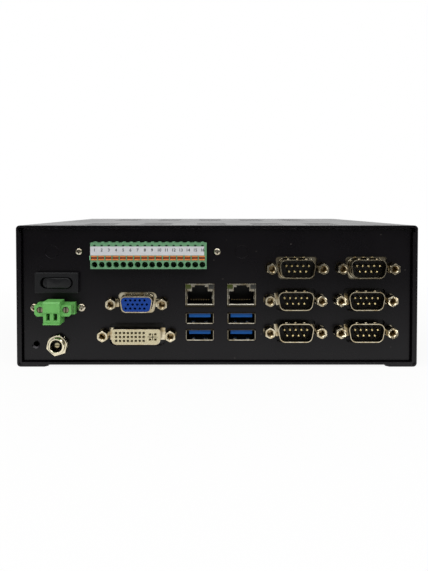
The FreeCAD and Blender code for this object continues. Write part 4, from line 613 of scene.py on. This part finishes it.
class FinishConnectors(bpy.types.Operator):
    """Gives the connectors' shells, bodies, inserts and contacts their finishes"""

    bl_idname = "industrial_pc.finish_connectors"
    bl_label = "Finish Connectors"

    def execute(self, context):
        metals, plastics = settings("metals"), settings("plastics")
        # The drawn sides of the shells face away from the light, so they are painted darker than their rims
        # and flanges as shade.
        flange_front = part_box("io_panel")[0].y - FLANGE
        for node in ("serial_shells", "vga_shell", "dvi_shell"):
            sides = ("Y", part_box(node)[0].y + SHELL_RIM, flange_front, 0.8)
            coat(plated(node + "_nickel", metals.nickel, 0.13, metals.nickel_tarnish, painted_shade=[sides]), node)
        coat(plated("flashed_gold", metals.gold, 0.25, metals.gold, hollow=3 * MM), "serial_pins")
        coat(plated("shaded_contacts", metals.bore, 0.4, metals.bore, hollow=3 * MM), "lan_contacts")
        black = moulded("black_glass_filled_nylon", plastics.black, 0.5, 0.35)
        coat(black, "serial_bodies", "video_body", "port_bodies")
        coat(moulded("blue_insert_nylon", plastics.blue, 0.45, 0.25), "vga_insert")
        coat(moulded("cream_insert_nylon", plastics.cream, 0.5), "dvi_insert")
        coat(moulded("port_blue_nylon", plastics.port_blue, 0.45, 0.25), "usb_tongues")
        return {"FINISHED"}


class FinishTerminals(bpy.types.Operator):
    """Gives the terminal block, the power input, the switch and the jack's insulator their finishes"""

    bl_idname = "industrial_pc.finish_terminals"
    bl_label = "Finish Terminals"

    def execute(self, context):
        plastics = settings("plastics")
        terminal = moulded("terminal_green_nylon", plastics.terminal_green, 0.5)
        coat(terminal, "terminal_plug", "terminal_header")
        coat(moulded("power_green_nylon", plastics.power_green, 0.5), "power_plug", "power_header")
        coat(moulded("marker_strip_card", plastics.strip, 0.6), "marker_strip")
        coat(moulded("switch_nylon", plastics.black, 0.38, 0.25), "switch_housing")
        coat(moulded("black_switch_moulding", plastics.black, 0.42, 0.4), "dc_jack_insulator")
        return {"FINISHED"}


class FinishInside(bpy.types.Operator):
    """Gives the boards and what stands on them their finishes"""

    bl_idname = "industrial_pc.finish_inside"
    bl_label = "Finish Inside"

    def execute(self, context):
        metals, plastics = settings("metals"), settings("plastics")
        mask = board_mask("solder_mask_on_epoxy", linear("#1F5A38"))
        coat(mask, "mainboard", "serial_board", "terminal_board", "memory_module")
        coat(plated("brass_spacer", metals.brass, 0.3, metals.brass), "board_spacers")
        zinc = plated("board_screw_plate", metals.steel, 0.3, metals.steel_tarnish)
        coat(zinc, "board_screws", "mount_inserts")
        coat(plated("blackened_screw", linear("#3A393B"), 0.4, linear("#2B2A2C")), "casing_screws")
        coat(plated("extruded_aluminium", metals.aluminium, 0.4, metals.aluminium), "heat_sink")
        coat(moulded("epoxy_chip_case", linear("#1D1E20"), 0.4), "processor", "storage_card")
        coat(moulded("socket_nylon", plastics.black, 0.5), "board_sockets")
        return {"FINISHED"}


class BuildJackscrews(bpy.types.Operator):
    """Hexagonal posts beside the D-shaped connectors, each with a threaded bore"""

    bl_idname = "industrial_pc.build_jackscrews"
    bl_label = "Build Jackscrews"

    def execute(self, context):
        own, metals = settings("screws"), settings("metals")
        models, posts, threads = {}, [], []
        for low, high in islands("jackscrews"):
            length, place = round(high.y - low.y, 5), along_y(low, high)
            if length in models:
                first, *pair = models[length]
                pair = [twin(piece, place - first) for piece in pair]
            else:
                pair = [self.post(own, low, high), self.thread(own, place)]
                models[length] = (place, *pair)
            posts.append(pair[0])
            threads.append(pair[1])
        nickel = plated("jackscrew_nickel", metals.nickel, 0.13, metals.nickel_tarnish, hollow=0.6 * MM)
        # painted shade: the bore's thread takes the darker bore tone
        dark = plated("threaded_bore", metals.bore, 0.25, metals.bore, hollow=0.7 * MM)
        dress(together(posts, "jackscrew_posts"), nickel, "warm_nickel", "jackscrews")
        dress(together(threads, "jackscrew_threads"), dark, "warm_nickel")
        return {"FINISHED"}

    def post(self, own, low, high):
        """A hexagon with turned-down corners, and a bore that widens towards its mouth."""
        corner = (high.x - low.x) / 2 / math.cos(math.pi / 6)
        place = along_y(low, high)
        front, back = low.y, high.y - own.jackscrew_tail
        post = bar("jackscrew_post", place, corner, back, sides=6)
        spare, cut, bore = 0.05 * MM, own.jackscrew_chamfer, own.jackscrew_bore
        outside = [(0, front - spare), (corner - cut - spare, front - spare), (corner, front + cut)]
        outside += [(corner + spare, back + spare), (0, back + spare)]
        end = front + own.jackscrew_depth
        inside = [(0, front - spare), (bore + BORE_MOUTH, front - spare), (bore, front + 0.3 * MM)]
        inside += [(bore, end), (0, end)]
        carve(post, turned("corner_cone", outside, place), operation="INTERSECT")
        carve(post, turned("bore", inside, place, 32))
        return smooth(rounded(post, 0.05 * MM, 2))

    def thread(self, own, place):
        """A ring of ridges inside the bore, closed at its far end."""
        start_y, pitch = place.y + BORE_MOUTH, own.thread_pitch
        root, crest = own.jackscrew_bore, own.jackscrew_bore - own.thread_height
        turns = int((own.jackscrew_depth - BORE_MOUTH) / pitch)
        wall, floor = root + 0.1 * MM, start_y + turns * pitch
        end, valley = floor + 0.2 * MM, root - 0.01 * MM
        profile = [(wall, start_y)]
        for i in range(turns):
            profile += [(valley, start_y + i * pitch), (crest, start_y + (i + 0.5) * pitch)]
        profile += [(valley, floor), (0, floor), (0, end), (wall, end), profile[0]]
        return smooth(turned("jackscrew_thread", profile, place, 32))


class BuildScrews(bpy.types.Operator):
    """Domed cross-head screws in the panel, and the slotted screws of the power plug"""

    bl_idname = "industrial_pc.build_screws"
    bl_label = "Build Screws"

    def execute(self, context):
        own, metals = settings("screws"), settings("metals")
        cross = [self.cross_head(own, low, high) for low, high in islands("panel_screws")]
        slotted = []
        for low, high in islands("power_plug_screws"):
            upright = high.y - low.y < 3 * MM
            slotted.append((self.clamp_screw if upright else self.slotted_head)(own, low, high))
        steel = plated("cross_head_steel", metals.steel, 0.22, metals.steel_tarnish, hollow=0.8 * MM)
        grey = plated("slotted_steel", metals.slotted, 0.4, metals.steel_tarnish, hollow=0.6 * MM)
        dress(together(cross, "cross_head_screws"), steel, "bright_steel", "panel_screws")
        dress(together(slotted, "slotted_screws"), grey, "bright_steel", "power_plug_screws")
        return {"FINISHED"}

    def recess(self, place, wide, tall, depth):
        """A cutter into a screw's front end that reaches as wide and as tall from its axis as given."""
        low = (place.x - wide, place.y - SPARE, place.z - tall)
        return block("recess", low, (place.x + wide, place.y + depth, place.z + tall))

    def cross_head(self, own, low, high):
        place, radius = along_y(low, high), (high.x - low.x) / 2
        profile = [(out * radius, low.y + back * own.head_height) for out, back in DOME]
        profile += [(own.shank, low.y + own.head_height), (own.shank, high.y), (0, high.y)]
        head = turned("cross_head", profile, place)
        reach, half = 0.6 * radius, own.recess_width / 2
        for wide, tall in ((reach, half), (half, reach)):
            carve(head, self.recess(place, wide, tall, own.recess_depth))
        return smooth(rounded(head, 0.05 * MM, 2))

    def slotted_head(self, own, low, high):
        place, radius = along_y(low, high), (high.x - low.x) / 2
        front, chamfer, neck = low.y, 0.2 * MM, low.y + own.slot_head
        profile = [(0, front), (radius - chamfer, front), (radius, front + chamfer), (radius, neck)]
        profile += [(own.shank, neck), (own.shank, high.y), (0, high.y)]
        head = turned("slotted_head", profile, place)
        slot = self.recess(place, own.recess_width / 2, radius + SPARE, own.recess_depth)
        return smooth(rounded(carve(head, slot), 0.05 * MM, 2))

    def clamp_screw(self, own, low, high):
        """A slotted screw that stands upright in the plug's underside."""
        start()
        middle = (low + high) / 2
        bpy.ops.mesh.primitive_cylinder_add(
            vertices=32, radius=(high.x - low.x) / 2, depth=high.z - low.z, location=middle
        )
        screw = placed("clamp_screw")
        half = own.recess_width / 2
        first = (low.x - SPARE, middle.y - half, low.z - SPARE)
        slot = block("slot", first, (high.x + SPARE, middle.y + half, low.z + own.recess_depth))
        return smooth(rounded(carve(screw, slot), 0.08 * MM, 2))


class BuildPowerJack(bpy.types.Operator):
    """Barrel of the power jack, with its thread, mouth and collar"""

    bl_idname = "industrial_pc.build_power_jack"
    bl_label = "Build Power Jack"

    def execute(self, context):
        own, metals = settings("jack"), settings("metals")
        low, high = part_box("dc_jack_barrel")
        place, collar = along_y(low, high), (high.x - low.x) / 2
        nut_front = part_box("dc_jack_nut")[0].y
        collar_front = high.y - own.collar_behind
        collar_back = collar_front + own.collar_depth
        profile = [(own.mouth, high.y), (own.mouth, low.y + own.rim / 2)]
        profile += [(own.mouth + own.rim / 2, low.y), (own.thread - own.rim, low.y)]
        along, root = low.y + own.rim, own.thread - own.thread_height
        while along < nut_front + own.thread_pitch:
            profile += [(own.thread, along), (root, along + own.thread_pitch / 2)]
            along += own.thread_pitch
        profile += [(own.thread, along), (own.thread, collar_front), (collar, collar_front)]
        profile += [(collar, collar_back), (own.thread, collar_back), (own.thread, high.y), profile[0]]
        barrel = smooth(turned("power_jack_barrel", profile, place, 64))
        bright = plated("bright_nickel", metals.jack, 0.12, metals.nickel, hollow=1.2 * MM)
        dress(barrel, bright, "bright_steel", "dc_jack_barrel")
        dress(self.washer(own, place), bright, "bright_steel", "dc_jack_washer")
        coat(bright, "dc_jack_nut")
        pin = plated("split_pin_nickel", metals.pin, 0.3, metals.nickel_tarnish, hollow=0.5 * MM)
        coat(pin, "dc_jack_pin")
        return {"FINISHED"}

    def washer(self, own, place):
        low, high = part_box("dc_jack_washer")
        inner, chamfer = own.thread + 0.05 * MM, 0.12 * MM
        profile = [(inner, low.y), (own.washer - chamfer, low.y), (own.washer, low.y + chamfer)]
        profile += [(own.washer, high.y), (inner, high.y), profile[0]]
        return smooth(turned("power_jack_washer", profile, place))


class BuildSockets(bpy.types.Operator):
    """Dimples of the D-shaped shells, springs and fingers of the ports, and the LAN lights"""

    bl_idname = "industrial_pc.build_sockets"
    bl_label = "Build Sockets"

    def execute(self, context):
        own, metals = settings("sockets"), settings("metals")
        nickel = plated("warm_nickel_plate", metals.nickel, 0.16, metals.nickel_tarnish)
        steel = plated("tinned_steel_shield", metals.steel, 0.22, metals.steel_tarnish)
        shield = plated("drawn_shield", metals.steel, 0.2, metals.steel_tarnish, painted_shade=self.dull_rims(own))
        coat(shield, "port_shields")
        dress(self.dimples(own), nickel, "warm_nickel")
        dress(self.port_springs(own), steel, "bright_steel")
        dress(self.ears(own), bpy.data.materials["vga_shell_nickel"], "warm_nickel")
        dress(self.fingers(own), steel, "bright_steel")
        rails = plated("ground_bar", metals.steel, 0.2, metals.steel)
        dress(self.ground_bars(own), rails, "bright_steel")
        self.lights(own, metals)
        return {"FINISHED"}

    def ears(self, own):
        """Ends of the round-cornered video connector's flange, between its shell and its jackscrews."""
        insert_low, insert_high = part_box("vga_insert")
        middle, panel_front = (insert_low.z + insert_high.z) / 2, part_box("io_panel")[0].y
        pieces = []
        for inner, side in ((insert_low.x, -1), (insert_high.x, 1)):
            left, right = sorted((inner + side * own.ear_start, inner + side * own.ear_end))
            low = (left, panel_front - own.ear_sheet, middle - own.ear_half)
            pieces.append(soft_block("ear", low, (right, panel_front, middle + own.ear_half), 0.1 * MM))
        return together(pieces, "video_flange_ends")

    def dull_rims(self, own):
        """Bands of painted shade on the sheet's rims that curl back and away from the light."""
        painted_shade = []
        for low, high in islands("usb_tongues")[:2]:
            ceiling = high.z + own.tongue_drop
            painted_shade.append(("Z", ceiling - SPARE, ceiling + own.port_wall + 0.2 * MM, 0.95))
        for low, high in self.lan_faces(own):
            sill, inner, rim = low.z + own.bar_rise, own.lan_rim * RIM_SHADE_FROM, own.lan_rim + 0.05 * MM
            painted_shade.append(("Z", low.z - SPARE, sill, 0.97))
            painted_shade.append(("Z", sill, high.z + SPARE, 0.12))
            painted_shade.append(("X", low.x + inner, low.x + rim, 0.9))
            painted_shade.append(("X", high.x - rim, high.x - inner, 0.9))
        return painted_shade

    def dimples(self, own):
        """Three pressed bumps on the upper side of each serial shell."""
        spots, pins = [], islands("serial_pins")
        for low, high in islands("serial_shells"):
            inside = [pin for pin in pins if low.x < pin[0].x < high.x and low.z < pin[0].z < high.z]
            if not inside:
                continue
            middle_x = sum(pin[0].x + pin[1].x for pin in inside) / (2 * len(inside))
            rows = [pin[0].z + pin[1].z for pin in inside]
            top = (min(rows) + max(rows)) / 4 + own.shell_half
            for step in (-1, 0, 1):
                spots.append(Vector((middle_x + step * own.dimple_pitch, low.y + own.dimple_inset, top)))
        first = self.dimple(own, spots[0])
        return together([first] + [twin(first, spot - spots[0]) for spot in spots[1:]], "shell_dimples")

    def dimple(self, own, spot):
        start()
        bpy.ops.mesh.primitive_uv_sphere_add(
            segments=24,
            ring_count=12,
            radius=own.dimple,
            location=spot,
            scale=(1, 1, own.dimple_height / own.dimple),
        )
        return smooth(above(placed("dimple"), spot - Vector((0, 0, 0.05 * MM))), 60)

    def port_springs(self, own):
        """Two bowed leaf springs on the floor of each serial bus port."""
        pieces, half = [], own.spring_width / 2
        for low, high in islands("usb_tongues"):
            floor = high.z + own.tongue_drop - own.port_height
            crest = low.y + own.spring_length / 2
            for step in (-0.5, 0.5):
                x = (low.x + high.x) / 2 + step * own.spring_pitch
                far = (x + half, low.y + own.spring_length, floor + 0.2 * MM)
                leaf = block("leaf", (x - half, low.y, floor), far)
                edit(leaf, bpy.ops.mesh.subdivide, number_cuts=1)
                ridge = lambda vert: abs(vert.co.y - crest) < 0.01 * MM
                edit(leaf, bpy.ops.transform.translate, "VERT", ridge, value=(0, 0, own.spring_rise))
                pieces.append(smooth(rounded(leaf, 0.06 * MM, 2)))
        return together(pieces, "port_springs")

    def fingers(self, own):
        """A sprung finger at each side of the LAN openings."""
        pieces, half = [], own.finger_width / 2
        for low, high in self.lan_faces(own):
            middle_z = low.z + (high.z - low.z) * FINGER_PLACE
            for side, edge in ((-1, low.x), (1, high.x)):
                outer = edge - side * FINGER_ROOT * own.lan_rim
                left, right = sorted((outer, outer - side * own.finger_reach))
                far = (right, low.y + 3 * MM, middle_z + half)
                pieces.append(soft_block("finger", (left, low.y, middle_z - half), far, 0.12 * MM))
        return together(pieces, "lan_fingers")

    def lan_faces(self, own):
        """Lowest and highest corners of each LAN socket's face, from its two light windows."""
        lights = islands("lan_lights")
        edge, faces = own.lan_rim / 2, []
        for left, right in zip(lights[::2], lights[1::2]):
            high = Vector((right[1].x + edge, right[0].y, right[1].z + edge))
            faces.append((Vector((left[0].x - edge, left[0].y, high.z - own.lan_height)), high))
        return faces

    def ground_bars(self, own):
        """A round-edged bar along the lower side of each LAN opening."""
        pieces = []
        for low, high in self.lan_faces(own):
            bottom = low.z + own.bar_rise
            far = (high.x - own.lan_rim, low.y + 1.6 * MM, bottom + own.bar_height)
            pieces.append(soft_block("rail", (low.x + own.lan_rim, low.y, bottom), far, 0.2 * MM))
        return together(pieces, "lan_ground_bars")

    def lights(self, own, metals):
        """A green and a clear window in each LAN socket."""
        windows = []
        for i, (low, high) in enumerate(islands("lan_lights")):
            outer, inner = own.light_outer, own.light_inner
            left, right = (inner, outer) if i % 2 else (outer, inner)
            near, far = low - Vector((left, 0.03 * MM, inner)), high + Vector((right, 0, inner))
            windows.append(soft_block("window", near, far, 0.15 * MM))
        for i, side in enumerate(("left", "right")):
            lens = moulded("light_pipe_" + side, getattr(metals, "light_" + side), 0.3, 0.3)
            replaced = [] if i else ["lan_lights"]
            piece = together(windows[i::2], "lan_lights_" + side)
            dress(piece, lens, "light_window", *replaced)


class BuildTerminals(bpy.types.Operator):
    """Release buttons with tool grooves, crests and latch of the plug, and the pole numbers"""

    bl_idname = "industrial_pc.build_terminals"
    bl_label = "Build Terminals"

    def execute(self, context):
        own, plastics = settings("terminals"), settings("plastics")
        self.buttons(own, plastics)
        crests = together(self.crests(own) + [self.latch(own)], "plug_crests")
        dress(crests, moulded("terminal_crest_nylon", plastics.crest_green, 0.5), "green_moulding")
        printed = moulded("marker_ink", plastics.figures, 0.6, 0.2)
        dress(self.numbers(own), printed, "marker_strip")
        # painted shade standing for the test slots
        contacts = moulded("test_slot_shade", plastics.slot_shade, 0.7, 0.1)
        dress(self.test_slots(own), contacts, "green_moulding")
        return {"FINISHED"}

    def poles(self):
        """Each release button's lowest and highest corner, from left to right."""
        return [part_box(f"release_button_{number:02d}") for number in range(1, POLES + 1)]

    def buttons(self, own, plastics):
        low, high = self.poles()[0]
        # painted shade in the tool groove, from 0.1 mm behind the button's face on
        sunk = (low.y + 0.1 * MM, low.y + 0.3 * MM, plastics.groove)
        orange = moulded("orange_button_nylon", plastics.orange, 0.45, sunk=sunk)
        first = self.button(own, low, high)
        for i, (place, _) in enumerate(self.poles(), 1):
            button = twin(first, place - low, f"tool_button_{i:02d}")
            dress(button, orange, "orange_button", f"release_button_{i:02d}", body=f"button_{i:02d}")
        bpy.data.objects.remove(first)

    def button(self, own, low, high):
        """A round-edged block with a groove across its face."""
        middle_z, half = (low.z + high.z) / 2, own.groove_height / 2
        near = (low.x - SPARE, low.y - SPARE, middle_z - half)
        groove = block("groove", near, (high.x + SPARE, low.y + own.groove_depth, middle_z + half))
        return smooth(rounded(carve(block("tool_button", low, high), groove), 0.12 * MM, 3))

    def crests(self, own):
        """Low round crests on the plug's top, one for each pole."""
        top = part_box("terminal_plug")[1].z
        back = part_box("dc_jack_washer")[1].y - 0.05 * MM
        radius = (own.crest_width**2 / 4 + own.crest_height**2) / (2 * own.crest_height)
        low, high = self.poles()[0]
        x = (low.x + high.x) / 2 + POLE_SHIFT
        axis = Vector((x, back - own.crest_depth, top + own.crest_height - radius))
        crest = bar("crest", axis, radius, back, 64)
        smooth(rounded(above(crest, (0, 0, top - 0.02 * MM)), 0.08 * MM, 2))
        return [crest] + [twin(crest, place - low) for place, _ in self.poles()[1:]]

    def latch(self, own):
        """The latch at the plug's left end, beside the buttons."""
        plug_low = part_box("terminal_plug")[0]
        low, high = self.poles()[0]
        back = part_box("dc_jack_washer")[1].y - 0.1 * MM
        near = (plug_low.x - own.latch_reach, plug_low.y + 0.1 * MM, low.z)
        return rounded(block("latch", near, (plug_low.x + 0.2 * MM, back, high.z)), 0.15 * MM, 3)

    def test_slots(self, own):
        """Dark patches of painted shade that stand for the test slots above the marker strip."""
        bottom, plug_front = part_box("marker_strip")[1].z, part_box("terminal_plug")[0].y
        pieces, half = [], own.slot_width / 2
        for low, high in self.poles():
            x = (low.x + high.x) / 2 + POLE_SHIFT
            far = (x + half, plug_front + 1 * MM, bottom + own.slot_height)
            contact = block("contact", (x - half, plug_front - 0.02 * MM, bottom), far)
            pieces.append(rounded(contact, 0.1 * MM, 2))
        return together(pieces, "test_contacts")

    def numbers(self, own):
        """Printed pole numbers on the marker strip."""
        strip_low, strip_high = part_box("marker_strip")
        z = strip_low.z + 0.45 * (strip_high.z - strip_low.z)
        pieces = []
        for number, (low, high) in enumerate(self.poles(), 1):
            start()
            place = ((low.x + high.x) / 2 + POLE_SHIFT, strip_low.y - 0.015 * MM, z)
            bpy.ops.object.text_add(location=place, rotation=(math.pi / 2, 0, 0))
            text = bpy.context.object.data
            text.body = str(number)
            text.size = own.figure_height * TYPE_SIZE
            text.align_x = "CENTER"
            text.extrude = 0.01 * MM
            text.offset = own.figure_weight
            bpy.ops.object.convert(target="MESH")
            pieces.append(placed("figure"))
        return together(pieces, "pole_numbers")


class BuildRocker(bpy.types.Operator):
    """Rocker of the power switch, pressed in at its left end"""

    bl_idname = "industrial_pc.build_rocker"
    bl_label = "Build Rocker"

    def execute(self, context):
        own = settings("rocker")
        low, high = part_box("switch_rocker")
        left, right = low.x + own.left_gap, high.x + own.right_reach
        middle, half = (low.z + high.z) / 2, own.paddle_height / 2
        far = (right, low.y + own.paddle_depth, middle + half)
        rocker = block("rocker_paddle", (left, low.y, middle - half), far)
        ends = lambda edge: abs(edge.verts[0].co.y - edge.verts[1].co.y) > 0.1 * MM
        edit(rocker, bpy.ops.mesh.bevel, "EDGE", ends, offset=half - 0.02 * MM, segments=14, affect="EDGES")
        edit(rocker, bpy.ops.mesh.bisect, plane_co=((left + right) / 2, 0, 0), plane_no=(1, 0, 0))
        # The left half sinks in steps, each nearer to the end, so that its face curves down.
        for share in range(SINK_STEPS):
            reach = left + (right - left) / 2 * (1 - share / SINK_STEPS)
            sunk = lambda vert: vert.co.y < low.y + own.sink and vert.co.x < reach + 0.01 * MM
            edit(rocker, bpy.ops.transform.translate, "VERT", sunk, value=(0, own.sink / SINK_STEPS, 0))
        smooth(rounded(rocker, 0.35 * MM, 4, 50), 50)
        dress(rocker, bpy.data.materials["switch_nylon"], "black_moulding", "switch_rocker", body="rocker")
        return {"FINISHED"}


class SetStage(bpy.types.Operator):
    """Sets up the floor, the lamps, the world and the camera"""

    bl_idname = "industrial_pc.set_stage"
    bl_label = "Set Stage"

    def execute(self, context):
        own = settings("stage")
        low, high = CAD_BOX
        centre = (low + high) / 2
        self.floor(own, low)
        self.world(context.scene, own)
        self.lamp("key_lamp", own.key_power, (0.9, 0.9), Vector((-0.35, -0.55, 0.9)), centre)
        self.lamp("fill_lamp", own.fill_power, (0.8, 0.6), Vector((0.5, -0.75, 0.8)), centre)
        self.camera(context.scene, own, low)
        context.scene.view_settings.view_transform = "Standard"
        return {"FINISHED"}

    def floor(self, own, low):
        """White paper, a little shaded near the object. The studio is white behind the object and dim behind
        the lens, and gloss shows that too."""
        start()
        bpy.ops.mesh.primitive_circle_add(vertices=96, radius=6, fill_type="NGON", location=(0, 0, low.z))
        floor = edit(placed("floor"), bpy.ops.mesh.inset, "FACE", lambda face: True, thickness=4)
        material, tree, place = new_material("pale_seamless_paper")
        fibre = noise(tree, place, 1.5 * MM, 3.0)
        bump = add(tree, "Bump", {"Height": fibre, "Strength": 0.05, "Distance": 0.05 * MM}).outputs[0]
        paper = add(tree, "BsdfDiffuse", {"Color": rgba(own.floor_colour), "Normal": bump}).outputs[0]
        far = add(tree, "VectorMath", {0: place}, operation="LENGTH").outputs["Value"]
        level = ramp(tree, axis_of(tree, place, "Y"), -0.42, -0.12, own.front_level, 1.3)
        seen, strength = seen_ray(tree, level)
        glow = add(tree, "Emission", {"Color": WHITE, "Strength": strength}).outputs[0]
        share = reckon(tree, "MULTIPLY", ramp(tree, far, 0.1, 0.3, 0.9, 1.0), seen)
        mixed = add(tree, "MixShader", {0: share, 1: paper, 2: glow}).outputs[0]
        add(tree, "OutputMaterial", {"Surface": mixed})
        floor.data.materials.append(material)

    def world(self, scene, own):
        world = bpy.data.worlds.new("studio")
        world.use_nodes = True
        tree = world.node_tree
        tree.nodes.clear()
        light = add(tree, "Background", {"Color": WHITE, "Strength": own.ambient}).outputs[0]
        way = axis_of(tree, add(tree, "TexCoord").outputs["Generated"], "Y")
        seen, strength = seen_ray(tree, ramp(tree, way, -0.3, 0.4, own.front_level, 1.0))
        white = add(tree, "Background", {"Color": WHITE, "Strength": strength}).outputs[0]
        mixed = add(tree, "MixShader", {0: seen, 1: light, 2: white}).outputs[0]
        add(tree, "OutputWorld", {"Surface": mixed})
        scene.world = world

    def lamp(self, name, power, spread, place, target):
        data = bpy.data.lights.new(name, "AREA")
        data.shape = "RECTANGLE"
        data.size, data.size_y = spread
        data.energy = power
        lamp = bpy.data.objects.new(name, data)
        bpy.context.scene.collection.objects.link(lamp)
        lamp.location = place
        lamp.rotation_euler = (target - place).to_track_quat("-Z", "Y").to_euler()

    def camera(self, scene, own, low):
        """Ahead of the connector panel and a little above the casing's top."""
        data = bpy.data.cameras.new("camera")
        data.sensor_width = 36
        data.lens = own.lens
        data.shift_x, data.shift_y = CAMERA_SHIFT
        data.clip_start, data.clip_end = 0.01, 50
        camera = bpy.data.objects.new("camera", data)
        scene.collection.objects.link(camera)
        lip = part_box("top_cover")[0].y
        camera.location = (-own.offset, lip - own.distance, low.z + own.height)
        camera.rotation_euler = (math.radians(90 - CAMERA_TILT), 0, 0)
        scene.camera = camera


GROUPS = {
    "casing": CasingSettings,
    "metals": MetalSettings,
    "plastics": PlasticSettings,
    "screws": ScrewSettings,
    "jack": JackSettings,
    "sockets": SocketSettings,
    "terminals": TerminalSettings,
    "rocker": RockerSettings,
    "stage": StageSettings,
}
OPERATORS = [
    FinishCasing,
    FinishConnectors,
    FinishTerminals,
    FinishInside,
    BuildJackscrews,
    BuildScrews,
    BuildPowerJack,
    BuildSockets,
    BuildTerminals,
    BuildRocker,
    SetStage,
]


class IndustrialPcPanel(bpy.types.Panel):
    """Lists the sizes and colours, and the operators in their order"""

    bl_idname = "VIEW3D_PT_industrial_pc"
    bl_label = "Fanless Industrial PC"
    bl_space_type = "VIEW_3D"
    bl_region_type = "UI"
    bl_category = "Industrial PC"

    def draw(self, context):
        for group in GROUPS:
            box = self.layout.box()
            box.label(text=group.title())
            for name in GROUPS[group].__annotations__:
                box.prop(settings(group), name)
        for operator in OPERATORS:
            self.layout.operator(operator.bl_idname)


CLASSES = [*GROUPS.values(), *OPERATORS, IndustrialPcPanel]


def register():
    for item in CLASSES:
        bpy.utils.register_class(item)
    for group, kind in GROUPS.items():
        setattr(bpy.types.Scene, "industrial_pc_" + group, bpy.props.PointerProperty(type=kind))


def unregister():
    for group in GROUPS:
        delattr(bpy.types.Scene, "industrial_pc_" + group)
    for item in reversed(CLASSES):
        bpy.utils.unregister_class(item)


def main():
    register()
    for operator in OPERATORS:
        group, name = operator.bl_idname.split(".")
        getattr(getattr(bpy.ops, group), name)()


if __name__ == "__main__":
    main()
